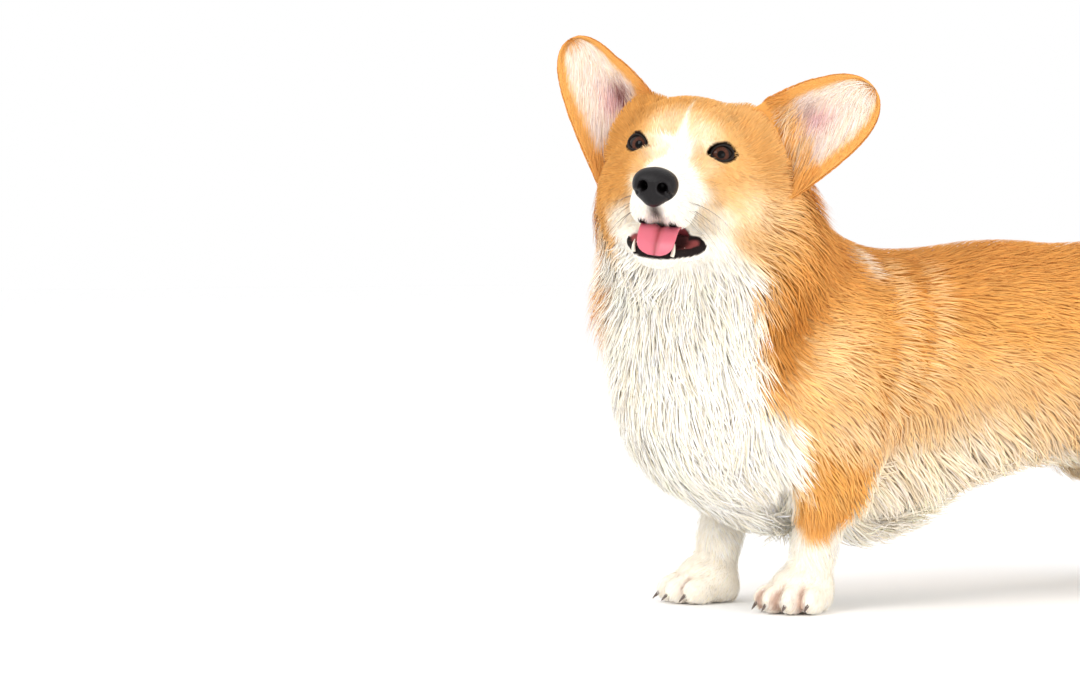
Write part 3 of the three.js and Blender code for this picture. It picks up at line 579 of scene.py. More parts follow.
def lipShare(h):  # 1 on the bare black lips
    upper, lower = mouthLines(h[..., 0])
    out = mouthOpening(h)
    scallop = 1 + 0.06 * np.sin(h[..., 0] * 0.8)
    below = (h[..., 2] < lower + 1) * (1 - ramp(out, 5.4 * scallop, 7.0 * scallop))
    above = (h[..., 2] > upper - 1) * (1 - ramp(out, 1.2, 2.2))
    corner = mouthCorner(h)
    away = np.stack([h[..., 0] - corner - 0.5, h[..., 2] + 62.5], -1)
    behind = (h[..., 0] < corner + 1) * (1 - ramp(norm(away), 2.8, 4.2))
    share = np.where(h[..., 0] < corner + 0.5, behind, below + above)
    return np.clip(share, 0, 1) * (norm(h) < headReach)


def mound(*terms):  # 1 in the middle, falling off as a bell in each term
    return np.exp(-sum(t**2 for t in terms))


def bodyColours(p, h, ragged, soft):  # each tone is blended in by ramps of place, moved by two wanderings
    x, y, z = p[..., 0], p[..., 1], p[..., 2]
    # red above, deeper along the back, paler down the flanks to the cream and white of the belly
    c = blendTo(np.broadcast_to(tone["red"], p.shape), tone["deepRed"], 0.5 * ramp(z + 12 * soft, 225, 275))
    c = blendTo(c, tone["paleRed"], 0.6 * ramp(-z + 16 * soft + 4 * ragged, -225, -175))
    c = blendTo(c, tone["cream"], ramp(-z + 12 * soft + 8 * ragged - 0.05 * x, -178, -118))
    c = blendTo(c, tone["white"], 0.7 * ramp(-z - 0.12 * x + 8 * ragged, -125, -80) * (x > -170))
    c = blendTo(c, tone["paleRed"], 0.75 * mound((x - 120) / 34, (z - 205) / 30))
    # the creases behind the shoulder: painted shade in deeper and darker red along each crease, and a painted
    # highlight in pale red on the ridge before each
    c = blendTo(c, tone["deepRed"], np.clip(foldShare(p), 0, 1))
    c = blendTo(c, tone["paintedShadeRed"], np.clip(0.7 * foldShare(p, 0, 3), 0, 1))
    c = blendTo(c, tone["paleRed"], np.clip(0.7 * foldShare(p, -12, 6.5), 0, 1))
    # the red patch on the near foreleg
    front = x - np.interp(z, legPatch["height"], legPatch["back"])
    patch = ramp(front, -5, 6) * ramp(z, 50, 60) * ramp(-z, -150, -118) * ramp(y, 40, 56)
    c = blendTo(c, tone["red"], patch * (x < 160))
    # the bib, with painted shade in the crease of the ruff beside it
    angle = np.degrees(np.arctan2(y, x - 110))
    near = np.interp(z, bibEdges["height"], bibEdges["near"]) - angle
    near = near - 5 * ramp(z, 225, 255) * ramp(-z, -315, -290)
    far = angle - np.interp(z, bibEdges["height"], bibEdges["far"])
    bib = ramp(np.minimum(near, far) + 6 * ragged + 4 * soft, -5, 5) * (x > 60)
    bib = bib * (1 - ramp(-h[..., 0], 34, 62) * ramp(h[..., 2], -78, -48))  # not on the nape
    # painted shade along the crease beside the bib
    crease = mound((near + 10) / 10) * ramp(z, 182, 205) * ramp(-z, -290, -255) * (x > 80)
    c = blendTo(c, tone["paintedShadeRed"], 0.75 * crease)
    c = blendTo(c, tone["white"], bib)
    # the white fleck on the withers, the white feet, legs and throat, and painted shade in pinkish brown in the
    # gaps between the toes
    fleck = mound((x - 62 - 0.2 * (z - 270)) / 7) * ramp(z, 252, 268) * ramp(y, 20, 45)
    c = blendTo(c, tone["white"], 0.85 * fleck * ramp(-z, -296, -284))
    c = blendTo(c, tone["white"], ramp(-z + 5 * ragged, -66, -52) * (x > -60))
    c = blendTo(c, tone["white"], ramp(-np.abs(y), -46, -30) * ramp(-z, -120, -100) * (x > 60))
    c = blendTo(c, tone["white"], ramp(-z + 5 * ragged, -100, -84) * (x < -150))
    # painted shade: a little cream on the feet and low legs, fullest towards the floor
    c = blendTo(c, tone["cream"], 0.15 * ramp(-z, -60, -30))
    # painted shade: pinkish brown in the gaps between the toes
    return blendTo(c, tone["toe"], 0.55 * toeCrease(p))


def headColours(p, h, ragged, soft, bare):  # the same on the head, in its own frame
    hx, hy, hz = h[..., 0], h[..., 1], h[..., 2]
    far = ramp(-hy, 14, 38)
    # red, deeper on the crown, paler down the near cheek, and painted shade in deeper red over the far side
    c = blendTo(np.broadcast_to(tone["faceRed"], h.shape), tone["paleRed"], 0.25 * ramp(hy, -10, 25))
    c = blendTo(c, tone["faceDeep"], 0.4 * ramp(hz + 5 * ragged, 8, 34) * (1 - 0.6 * ramp(hy, -5, 25)))
    c = blendTo(c, tone["paleRed"], 0.5 * ramp(-hz + 5 * soft, 12, 40) * (1 - far))
    # painted shade: the far side of the face in deeper red
    c = blendTo(c, tone["faceDeep"], 0.75 * far)
    # a streak from the near eye's inner corner down beside the muzzle
    streak = mound((hy - 24 - 0.3 * (-hz - 5)) / 4.5) * ramp(-hz, 8, 16) * ramp(hz, -46, -30) * (hx > -18)
    c = blendTo(c, tone["faceDeep"], 0.7 * streak)
    # the white muzzle and jaws, with a cream edge
    edge = hx - np.interp(hz, faceEdge["height"], faceEdge["ahead"]) + 3 * ragged + 2 * soft
    # the cream edge is mostly kept off the far side, which is painted in shade
    c = blendTo(c, tone["cream"], ramp(edge, -16, 4) * 0.6 * (1 - 0.8 * far))
    c = blendTo(c, tone["white"], ramp(edge, -7, 7) * (hz < 8))
    # the blaze
    half = np.interp(hz, blazeWidths["height"], blazeWidths["half"])
    blaze = (1 - ramp(np.abs(hy - 3.5) - half, -1.8, 2)) * (hz > -14) * ramp(hx, -50, -20)
    c = blendTo(c, tone["white"], blaze * (1 - 0.35 * ramp(hz, 10, 30)))
    # pale brows, a deeper temple and the pale hair below the ears
    brow = mound((hy - 16) / 9, (hz - 13) / 7) + 0.4 * mound((hy + 17) / 6, (hz - 14) / 5)
    c = blendTo(c, tone["cream"], 0.7 * brow * (hx > -20))
    c = blendTo(c, tone["faceDeep"], 0.5 * mound((hx + 34) / 14, (hz - 2) / 22) * (hy > 0))
    under = mound((hx + 14) / 20, (hz + 40) / 15, (np.abs(hy) - 58) / 22)
    c = blendTo(c, tone["cream"], 0.6 * under * (hy > 0))
    for s in both:  # the dark lids, drawn out at the inner corners
        corner = h - eyeCentre(s) - eyeBasis(s)[0] * (-s * 12.5) - [9, 0, 0]
        liner = (1 - ramp(eyeOpening(h, s, 0), 0.8, 1.9)) * (norm(h - eyeCentre(s)) < 24)
        c = blendTo(c, tone["liner"], 0.92 * np.maximum(liner, mound(norm(corner) / 3.6)) * bare)
    c = blendTo(c, tone["liner"], 0.75 * mound(hy / 4.5, (hz + 49) / 6.5) * ramp(hx, 50, 64))
    c = blendTo(c, tone["lip"], lipShare(h) * bare)
    deep = insideMouth(p, h) * bare
    c = blendTo(c, tone["gum"], deep)
    # painted shade: the throat, near black in the middle of the mouth's hollow
    return blendTo(c, tone["throat"], deep * (1 - ramp(np.abs(hy), 14, 22)))


def markings(p, bare=1.0):  # bare is 1 for the skin, 0 for the hair on it
    h = intoHead(p)
    ragged, soft = wander(p, 9, 3.1), wander(p, 34, 1.7)
    c = bodyColours(p, h, ragged, soft)
    c = c + (headColours(p, h, ragged, soft, bare) - c) * headShare(h)[..., None]
    return np.clip(c, 0, 1)


# The skin: the whole body's surface, finer on the head, with the ears

skinSettings = {"cell": 3.4, "low": (-350, -118, -4), "high": (318, 156, 420), "fineHead": 120, "settle": 3}


def refined(points, quads, fine):  # triangles, with the quads' edges between fine points halved first
    coarse = bpy.data.meshes.new("coarse")
    coarse.from_pydata(points.tolist(), [], quads.tolist())
    refine = bmesh.new()
    refine.from_mesh(coarse)
    refine.verts.ensure_lookup_table()
    fineEdges = [e for e in refine.edges if fine[e.verts[0].index] and fine[e.verts[1].index]]
    bmesh.ops.subdivide_edges(refine, edges=fineEdges, cuts=1, use_grid_fill=True)
    bmesh.ops.triangulate(refine, faces=refine.faces)
    refine.to_mesh(coarse)
    refine.free()
    points = np.empty(len(coarse.vertices) * 3)
    coarse.vertices.foreach_get("co", points)
    triangles = np.empty(len(coarse.polygons) * 3, int)
    coarse.polygons.foreach_get("vertices", triangles)
    bpy.data.meshes.remove(coarse)
    return points.reshape(-1, 3), triangles.reshape(-1, 3)


points, quads = gridSurface(skinField, skinSettings["low"], skinSettings["high"], skinSettings["cell"])
print("skin grid", len(points), len(quads))
pointsHead = intoHead(points)
onFace = headShare(pointsHead) * (norm(pointsHead) < skinSettings["fineHead"]) > 0.5
points, triangles = refined(points, quads, onFace)
shift = toLevel(skinField, points, 0, skinSettings["settle"]) - points
points = points + shift * np.minimum(1, 2.0 / np.maximum(norm(shift), 1e-9))[:, None]
print("skin refined", len(points), len(triangles))

ears = {
    1: {"top": (-54, 53, 45), "bottom": (-50, 85, -24), "tip": (-82, 131, 65), "halfWidth": 33.5},
    -1: {"top": (-54, 38, 39), "bottom": (-50, 65, -41), "tip": (-82, 114, 75), "halfWidth": 29},
}
# An ear is a closed strip: its front face from edge to edge, then its back face the other way.
earShape = {"rows": 44, "tipRows": 8, "columns": 30, "cup": 24, "tipCup": 5, "thick": 3.4}


def earPoint(side, along, across):
    # From the line between the ear's two roots towards the tip, across by a half width that narrows to
    # nothing there, and bowed back in the middle by the cup.
    ear = {k: np.array(v, float) for k, v in ears[side].items()}
    base = (ear["top"] + ear["bottom"]) / 2
    axis = ear["tip"] - base
    out = np.maximum(along, 0)[..., None]
    tipHalf = unit(np.array([0, -axis[2], axis[1]])) * ear["halfWidth"]
    share = np.minimum(1, out * 1.5)
    half = (ear["top"] - ear["bottom"]) / 2 * (1 - share) + tipHalf * share
    half = half * np.sqrt(np.maximum(0, 1 - out**3.2))
    p = base + axis * along[..., None] + half * across[..., None]
    cup = earShape["cup"] + (earShape["tipCup"] - earShape["cup"]) * out[..., 0] ** 0.8
    p[..., 0] += cup * (across**2 - 1)
    p[..., 1] *= side
    return p


def earNormal(side, along, across):  # out of the back of the ear
    t, u = np.minimum(along, 0.85), across * 0.85
    acrossIt = earPoint(side, t, u + 0.03) - earPoint(side, t, u - 0.03)
    alongIt = earPoint(side, t + 0.02, u) - earPoint(side, t - 0.02, u)
    out = unit(np.cross(acrossIt, alongIt))
    return np.where(out[..., :1] > 0, -out, out)


def earHeight(along, across, front):  # how far the face lies behind the ear's middle sheet
    thick = earShape["thick"] * (1 - 0.5 * across**2) * (1.2 - 0.6 * np.maximum(along, 0))
    root = 1 - ramp(along, 0.12, 0.5)
    ridge = 4.5 * np.exp(-(((across - 0.12 + 0.5 * along) / 0.13) ** 2)) * root
    hollow = 2.5 * np.exp(-(((across + 0.42) / 0.2) ** 2)) * root
    edge = 1.2 * ramp(np.abs(across), 0.8, 0.93) * ramp(along, 0, 0.3)
    return np.where(front > 0.5, 0.6 - ridge + np.minimum(hollow, thick - 1.2) - edge, thick)


def earShell(side):  # the strip's points, with their places along and across and which face they are on
    along = np.concatenate([np.linspace(-0.15, 0.9, earShape["rows"] - earShape["tipRows"]),
                            np.linspace(0.92, 0.9995, earShape["tipRows"])])
    u = np.sin(np.linspace(-np.pi / 2, np.pi / 2, earShape["columns"] // 2 + 1))
    across = np.concatenate([u, u[1:-1][::-1]])
    front = np.concatenate([np.ones(len(u)), np.zeros(len(u) - 2)])
    a, c = np.meshgrid(along, across, indexing="ij")
    f = np.broadcast_to(front, a.shape)
    p = earPoint(side, a, c) + earNormal(side, a, c) * earHeight(a, c, f)[..., None]
    return p, a, c, f


def earColours(side, along, across, front):  # pale flesh in front, painted shade in the hollow, deepest in the far ear, red at the rim and behind
    spot = np.stack([along * 60, across * 30, 0 * along], -1)
    rim = ramp(np.abs(across) + 0.05 * wander(spot, 6, 4), 0.66, 0.86) + ramp(along, 0.82, 0.95)
    rim = rim + ramp(-along + 0.05 * wander(spot, 5, 2), -0.16, -0.06)
    c = np.broadcast_to(tone["earSkin"], along.shape + (3,))
    c = blendTo(c, tone["cream"], 0.5 * ramp(along + 0.1 * wander(spot, 9, 7), 0.1, 0.6))
    # painted shade in the ear's hollow, full in the far ear and a quarter in the near one
    deep = np.exp(-(((along - 0.26) / 0.15) ** 2) - ((across - 0.3) / 0.24) ** 2)
    c = blendTo(c, tone["earHollowShade"], deep * (0.25 if side > 0 else 1.0))
    flush = np.exp(-(((along - 0.3) / 0.2) ** 2) - ((across - 0.02 + 0.3 * along) / 0.22) ** 2)
    c = blendTo(c, tone["earFlush"], 0.75 * flush)
    c = blendTo(c, tone["red"], np.clip(rim, 0, 1))
    back = blendTo(np.broadcast_to(tone["red"], c.shape), tone["deepRed"], 0.4 * ramp(along, 0.3, 1.0))
    return np.where(front[..., None] > 0.5, c, back)


skinPoints, skinFaces, skinColours = [points], [triangles], [markings(points)]
for s in both:
    p, a, c, f = earShell(s)
    rows, columns = a.shape
    flat = fromHead(p.reshape(-1, 3))
    quads = facePatch(rows, columns)
    outwards = facesOut(flat - flat.mean(0), quads)
    tip = flat[-columns:].mean(0)
    offset = sum(len(x) for x in skinPoints)
    last = (rows - 1) * columns + np.arange(columns)
    cap = np.stack([last, np.roll(last, -1), np.full(columns, len(flat))], 1)
    tris = np.concatenate([halved(quads), cap])
    tris = tris if outwards else tris[:, ::-1]
    skinPoints.append(np.concatenate([flat, [tip]]))
    skinFaces.append(tris + offset)
    shade = earColours(s, a, c, f).reshape(-1, 3)
    skinColours.append(np.concatenate([shade, shade[-1:]]))
skinPoints = np.concatenate(skinPoints)
skinFaces = np.concatenate(skinFaces)
skinColours = np.concatenate(skinColours)

# The unwrap: each face goes to the tile of its part and of the side it looks to, seen along that side.
parts = {  # the corner and size of each part's place, holding three tiles by two
    "trunk": (0, 0, 1, 0.46), "head": (0, 0.46, 0.5, 0.3), "neck": (0.5, 0.46, 0.5, 0.3),
    "foreLeft": (0, 0.76, 0.2, 0.24), "foreRight": (0.2, 0.76, 0.2, 0.24),
    "hindLeft": (0.4, 0.76, 0.2, 0.24), "hindRight": (0.6, 0.76, 0.2, 0.24),
    "ears": (0.8, 0.76, 0.2, 0.24),
}
partBoxes = {
    "trunk": ((-350, -120, 40), (270, 120, 310)), "head": ((120, -60, 230), (330, 160, 420)),
    "neck": ((20, -130, 180), (270, 130, 400)), "foreLeft": ((40, 0, 0), (180, 120, 240)),
    "foreRight": ((40, -120, 0), (200, 0, 240)), "hindLeft": ((-340, 0, 0), (-150, 120, 240)),
    "hindRight": ((-340, -120, 0), (-150, 0, 240)), "ears": ((60, -80, 300), (270, 170, 455)),
}
partNames = list(parts)


def tileOf(normal):  # 0 to 5, by the side that it mostly looks to
    axis = np.abs(normal).argmax(1)
    return axis * 2 + (normal[np.arange(len(normal)), axis] > 0)


def unwrap(p, normal, isEar):  # each face's part, by where it is, and its tile
    h = intoHead(p)
    part = np.zeros(len(p), int)
    part[(p[:, 2] > 262 + 0.1 * p[:, 0]) & (p[:, 0] > 30)] = partNames.index("neck")
    low = p[:, 2] < 108
    for name, x, y in (("foreLeft", 1, 1), ("foreRight", 1, -1), ("hindLeft", -1, 1), ("hindRight", -1, -1)):
        part[low & ((p[:, 0] + 60) * x > 0) & (p[:, 1] * y > 16)] = partNames.index(name)
    part[headShare(h) > 0.5] = partNames.index("head")
    part[isEar] = partNames.index("ears")
    return part, tileOf(normal)


def unwrapped(p, part, tile):  # the two coordinates across the tile's view, scaled from the part's box to the tile
    uv = np.zeros(p.shape[:-1] + (2,))
    for i, name in enumerate(partNames):
        u0, v0, width, height = parts[name]
        low, high = (np.array(v, float) for v in partBoxes[name])
        for t in range(6):
            chosen = (part == i) & (tile == t)
            if not chosen.any():
                continue
            a, b = [k for k in range(3) if k != t // 2]
            q = np.clip((p[chosen] - low) / (high - low), 0.004, 0.996)
            uv[chosen, ..., 0] = u0 + width * (t % 3 + 0.02 + 0.96 * q[..., a]) / 3
            uv[chosen, ..., 1] = v0 + height * (t // 3 + 0.02 + 0.96 * q[..., b]) / 2
    return uv


corner = skinPoints[skinFaces]
faceNormal = np.cross(corner[:, 1] - corner[:, 0], corner[:, 2] - corner[:, 0])
faceArea = norm(faceNormal) / 2
faceNormal = unit(faceNormal)
isEar = np.arange(len(skinFaces)) >= len(triangles)
facePart, faceTile = unwrap(corner.mean(1), faceNormal, isEar)
skinUv = unwrapped(corner, facePart, faceTile)

skinMaterial = newMaterial("skin", {"Roughness": 0.85, "Specular IOR Level": 0.08}, attribute=True,
                           bump={"scale": 900, "strength": 0.5, "distance": 0.0006})
fleshNodes = [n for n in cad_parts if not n.startswith(("eye", "claw", "nose", "tongue"))]
skin = meshPiece("skin", skinPoints, skinFaces, skinMaterial, skinColours, skinUv.reshape(-1, 2))
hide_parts(*fleshNodes)
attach(skin, "root")
print("skin", len(skinFaces))

# The coat

coatSettings = {  # numbers of tufts, the triangles in a piece, the size of a clump, where fur counts as long
    "tufts": 96000, "earTufts": 6500, "piece": 190000, "clump": 13, "longFrom": 13,
    "flatness": 0.28, "patch": 0.0014,  # a tuft's thickness over its width, its reach on the unwrap
}
furKinds = {  # length, width, how high the tip stands over the solids' surface, clumping, thickness of the coat
    "muzzle": (4.5, 0.45, 0.0, 0.0, 0.7), "face": (8, 0.52, 0.1, 0.03, 0.75),
    "cheek": (20, 0.7, 6.0, 0.15, 2.0), "back": (18, 0.75, 0.6, 0.06, 1.2),
    "flank": (22, 0.8, 0.9, 0.1, 1.4), "belly": (40, 1.0, 16.0, 0.3, 3.4),
    "ruff": (34, 0.95, 11.5, 0.14, 4.5), "bib": (38, 1.0, 11.0, 0.12, 5.2),
    "leg": (9, 0.62, 0.4, 0.05, 0.8), "paw": (5.5, 0.55, 0.1, 0.0, 0.5),
    "breech": (38, 1.1, 13.0, 0.3, 3.0), "tail": (24, 0.9, 6.0, 0.25, 2.0),
}
kindNames = list(furKinds)
kindTable = np.array([furKinds[k] for k in kindNames])


def kindShares(p, h):  # how much of each kind of fur grows at a point, adding up to 1
    x, y, z = p[:, 0], p[:, 1], p[:, 2]
    head = headShare(h)
    muzzle = muzzleShare(h)
    behind = ramp(-h[:, 0] - 0.3 * h[:, 2], 28, 62)
    jaw = ramp(-h[:, 2], 52, 84) * ramp(-h[:, 0], 0, 30)
    cheek = head * (1 - muzzle) * np.maximum(behind, jaw) * ramp(-h[:, 2], 2, 30)
    face = head * (1 - muzzle) - cheek
    rest = 1 - head
    paw = rest * pawShare(p)
    leg = (rest - paw) * legShare(p)
    rest = rest - paw - leg
    ruff = rest * ramp((x - 54) * 0.44 + (z - 290) * 0.9, -14, 10) * ramp(x + 0.25 * (z - 290), 96, 132)
    rest = rest - ruff
    bib = rest * ramp(x + 0.35 * (150 - z).clip(0), 150, 182)
    bib = np.maximum(bib, rest * ramp(x, 82, 104) * ramp(-z, -104, -84) * ramp(-np.abs(y), -40, -24))
    rest = rest - bib
    tail = rest * ramp(-x, 306, 316)
    rest = rest - tail
    breech = rest * ramp(-x, 250, 285) * ramp(-z, -236, -206)
    rest = rest - breech
    floorHeight = 84 - 0.32 * (x - 30)  # the belly's own line
    belly = rest * ramp(-z + floorHeight, -52, -14) * ramp(x, -230, -190)
    rest = rest - belly
    back = rest * ramp(z, 232, 262)
    return np.stack([muzzle, face, cheek, back, rest - back, belly, ruff, bib, leg, paw, breech, tail], 1)


def lieOfCoat(p, h):  # the way the hair points, before it is laid along the skin
    x, y, z = p[:, 0], p[:, 1], p[:, 2]
    one = np.ones(len(p))
    side = np.clip(y / 40, -1, 1)
    trunk = np.stack([-one, 0 * one, -0.25 - 1.1 * ramp(-z, -215, -130)], 1)
    chest = np.stack([-0.25 * one, 0.3 * side, -one], 1)
    neck = np.stack([-0.22 - 0.8 * ramp(-x, -135, -75), 0.12 * side, -one], 1)
    leg = np.stack([-0.22 * one, 0 * one, -one], 1)
    rear = np.stack([-0.5 * one, 0.1 * side, -one], 1)
    lie = trunk
    lie = lie + (rear - lie) * ramp(-x, 215, 270)[:, None]
    lie = lie + (chest - lie) * ramp(x + 0.35 * (150 - z).clip(0), 128, 172)[:, None]
    lie = lie + (neck - lie) * ramp((x - 54) * 0.44 + (z - 290) * 0.9, -20, 14)[:, None]
    lie = lie + (leg - lie) * legShare(p)[:, None]
    for paw in paws:
        turn = np.radians(paw["heading"])
        ahead = np.array([np.cos(turn), np.sin(turn), -0.55])
        near = np.exp(-(((x - paw["at"][0]) ** 2 + (y - paw["at"][1]) ** 2) / 45**2))
        lie = lie + (ahead - lie) * (pawShare(p) * near)[:, None]
    hy, hz = h[:, 1], h[:, 2]
    onHead = np.stack([-one, 0.55 * np.clip(hy / 35, -1, 1), 0.75 * np.clip((hz + 16) / 36, -1, 1)], 1)
    for s in both:
        away = h - eyeCentre(s)
        close = np.exp(-((np.maximum(norm(away) - 13, 0) / 9) ** 2))
        onHead = onHead + unit(away) * (2.6 * close)[:, None]
    onHead = onHead @ headTurn.T
    return lie + (onHead - lie) * headShare(h)[:, None]


def tuftRows(centres, out, aside, widths, depths):  # rings of three points: two at the sides, one on the ridge
    offsets = ((aside, 0.5, 0), (out, 0, 0.5), (-aside, 0.5, 0))
    rings = [centres + way * (widths * w + depths * d)[..., None] for way, w, d in offsets]
    return np.stack(rings, 2)


def tuftMesh(rows, tips):  # rings (N, R, 3, 3) and tips (N, 3) as points and triangles
    count, rings = rows.shape[:2]
    each = rings * 3 + 1
    points = np.concatenate([rows.reshape(count, rings * 3, 3), tips[:, None]], 1).reshape(-1, 3)
    faces = [[0, 2, 1]]
    for r in range(rings - 1):
        for k in range(3):
            a, b = r * 3 + k, r * 3 + (k + 1) % 3
            faces += [[a, b, b + 3], [a, b + 3, a + 3]]
    top = (rings - 1) * 3
    faces += [[top + k, top + (k + 1) % 3, each - 1] for k in range(3)]
    faces = np.array(faces)
    return points, (faces[None] + np.arange(count)[:, None, None] * each).reshape(-1, 3), faces, each


def growCoat(roots, normals, colours, uv, length, width, lift, clumping, long):
    # Each tuft leaves the skin and bends over along the lie. At each step its place goes to the level of the
    # body's field that lies that share of the way from the skin to the tip's height, and it ends in a point.
    count = len(roots)
    ownRng = np.random.default_rng(count)
    h = intoHead(roots)
    lie = lieOfCoat(roots, h)
    cells = np.floor(roots / coatSettings["clump"] + 0.5 * wander(roots, 40, 2.2)[:, None])
    key = (cells @ np.array([73856093, 19349663, 83492791])).astype(np.int64)
    _, clump = np.unique(key, return_inverse=True)
    clumps = clump.max() + 1
    centre = np.stack([np.bincount(clump, roots[:, k], clumps) for k in range(3)], 1)
    centre = centre / np.bincount(clump, minlength=clumps)[:, None]
    free = np.clip(length / 26, 0.25, 1)[:, None]  # short fur lies more evenly
    sway = ownRng.normal(0, 0.15, (clumps, 3))
    wave = np.stack([wander(roots, 26, k) for k in (4.4, 8.1, 6.3)], 1) * (0.03 + 0.007 * length)[:, None]
    lie = unit(lie) + (sway[clump] + ownRng.normal(0, 0.11, (count, 3))) * free + wave
    lie = unit(lie - normals * (lie * normals).sum(1)[:, None])
    steps = [0, 0.34, 0.7, 1] if long else [0, 0.5, 1]
    heights = [0, 0.5, 0.85, 1] if long else [0, 0.62, 1]
    depth = coatDepth(roots, h)
    pull = (centre[clump] - roots) * clumping[:, None]
    path = [roots - normals * 0.8]
    for t, height in zip(steps[1:], heights[1:]):
        p = roots + lie * (length * t)[:, None] + pull * t**1.5
        path.append(toLevel(body, p, -depth + (depth + lift) * height, 1 if t < 0.5 else 2))
    path = np.stack(path, 1)
    along = unit(np.gradient(path, axis=1))
    # the way that the ridge looks: the skin's own, leaned outwards where the tuft stands or hangs
    spine = roots - np.stack([np.clip(roots[:, 0], -250, 110), 0 * roots[:, 1], roots[:, 2]], 1)
    upright = (along * normals[:, None]).sum(-1, keepdims=True)
    offHead = (1 - headShare(h))[:, None, None]
    lean = normals[:, None] + unit(spine)[:, None] * upright**2 * offHead
    down = np.clip(-lean[..., 2:] - 0.1, 0, 1) * offHead
    lean = lean + unit(spine)[:, None] * down * 1.2 + np.array([0, 0, 1.0]) * down * 0.9
    out = unit(lean - along * (along * lean).sum(-1, keepdims=True))
    aside = np.cross(along, out)
    widths = width[:, None] * np.array([0.75, 1, 0.62] if long else [0.85, 0.8])
    fit = norm(np.diff(path, axis=1)).max(1) < length * 0.8 + 6
    path, out, aside, widths = path[fit], out[fit], aside[fit], widths[fit]
    normals, colours, uv, clump = normals[fit], colours[fit], uv[fit], clump[fit]
    tint = ownRng.normal(1, 0.02, clumps)[clump]
    return finishTufts(path, out, aside, widths, normals, colours * tint[:, None], uv, ownRng)


def finishTufts(path, out, aside, widths, normals, colours, uv, ownRng):
    # Rings about the path and a point at its end. The upper faces' normals are softened towards the body's,
    # so that light falls on the tufts as on a coat, and the lower faces look the other way.
    rows = tuftRows(path[:, :-1], out[:, :-1], aside[:, :-1], widths, widths * coatSettings["flatness"])
    points, faces, single, each = tuftMesh(rows, path[:, -1])
    count, rings = rows.shape[:2]
    sides = np.stack([aside, 0 * out, -aside], 2)[:, :-1] * 0.28
    upper = sides + out[:, :-1, None]
    upper = upper + 0.9 * normals[:, None, None] * np.array([1, 0.8, 0.6, 0])[None, :rings, None, None]
    upper = unit(np.concatenate([upper.reshape(count, rings * 3, 3), out[:, -1:]], 1))
    lower = (sides - out[:, :-1, None]).reshape(count, rings * 3, 3)
    lower = unit(np.concatenate([lower, -out[:, -1:]], 1))
    under = np.array([True] + [k == 2 for _ in range(rings - 1) for k in range(3) for _ in range(2)]
                     + [k == 2 for k in range(3)])
    facing = np.where(under[None, :, None, None], lower[:, single], upper[:, single]).reshape(-1, 3)
    bright = np.interp(np.linspace(0, 1, rings + 1), (0, 0.5, 1), (0.96, 1.0, 1.02))
    bright = np.repeat(bright, [3] * rings + [1])
    tint = ownRng.normal(1, 0.035, (count, 1, 1)) + ownRng.normal(0, 0.025, (count, 1, 1)) * [[[-0.4, 0, 1.2]]]
    c = np.clip(colours[:, None] * bright[None, :, None] * tint, 0, 1).reshape(-1, 3)
    angle = np.arange(each) * 2.4
    patch = np.stack([np.cos(angle), np.sin(angle)], 1) * coatSettings["patch"]
    return points, faces, c, (uv[:, None, :] + patch[single.ravel()][None]).reshape(-1, 2), facing


# Roots: as many on each face as its area and its kinds of fur need, none on eyes, lips, nose and soles
usable = ~isEar
middle = corner.mean(1)
middleHead = intoHead(middle)
usable &= ~((middle[:, 2] < 3) & (faceNormal[:, 2] < -0.3))
for s in both:
    usable &= eyeOpening(middleHead, s, 1.1) > 0
usable &= (lipShare(middleHead) < 0.15) & (insideMouth(middle, middleHead) < 0.3)
usable &= norm((middleHead - noseAt - [1, 0, -1]) / [15, 16.5, 14.5]) > 1
shares = kindShares(middle, middleHead)
need = (shares * (kindTable[:, 4] / kindTable[:, 0] / kindTable[:, 1])[None]).sum(1)
wanted = faceArea * need * usable
wanted *= coatSettings["tufts"] / wanted.sum()
number = np.floor(wanted + rng.random(len(wanted))).astype(int)
chosen = np.repeat(np.arange(len(number)), number)
weights = rng.random((len(chosen), 2))
over = weights.sum(1) > 1
weights[over] = 1 - weights[over]
a, b, c = (corner[chosen, k] for k in range(3))
roots = a + (b - a) * weights[:, :1] + (c - a) * weights[:, 1:]
print("tufts", len(roots))

vertexNormal = np.zeros_like(skinPoints)
for k in range(3):
    np.add.at(vertexNormal, skinFaces[:, k], faceNormal * faceArea[:, None])
vertexNormal = unit(vertexNormal)
n0, n1, n2 = (vertexNormal[skinFaces[chosen, k]] for k in range(3))
normals = unit(n0 + (n1 - n0) * weights[:, :1] + (n2 - n0) * weights[:, 1:])
rootUv = unwrapped(roots, facePart[chosen], faceTile[chosen])
rootColours = markings(roots, 0.0)
spec = kindShares(roots, intoHead(roots)) @ kindTable
vary = rng.normal(1, 0.18, (len(roots), 2)).clip(0.5, 1.5)
length, width = (spec[:, :2] * vary).T
lift, clumping = spec[:, 2], spec[:, 3]
width = width * (1 + 0.28 * ramp(length, 12, 26))  # long hair closes the coat's gaps
ruffSide = np.exp(-(((roots[:, 2] - 268) / 34) ** 2)) * ramp(-roots[:, 1], -5, 30) * ramp(roots[:, 0], 120, 160)
fringe = 9 * ramp(roots[:, 0], -40, 10) * shares[chosen, kindNames.index("belly")]
lift = (lift + 13 * ruffSide + fringe) * rng.uniform(0.35, 1.08, len(roots))
lift -= np.clip(5 * foldShare(roots), 0, 4.5)  # the coat sinks into the creases
rootHead = intoHead(roots)
for s in both:
    length *= 0.35 + 0.65 * ramp(norm(rootHead - eyeCentre(s)), 14, 28)
isLong = spec[:, 0] > coatSettings["longFrom"]

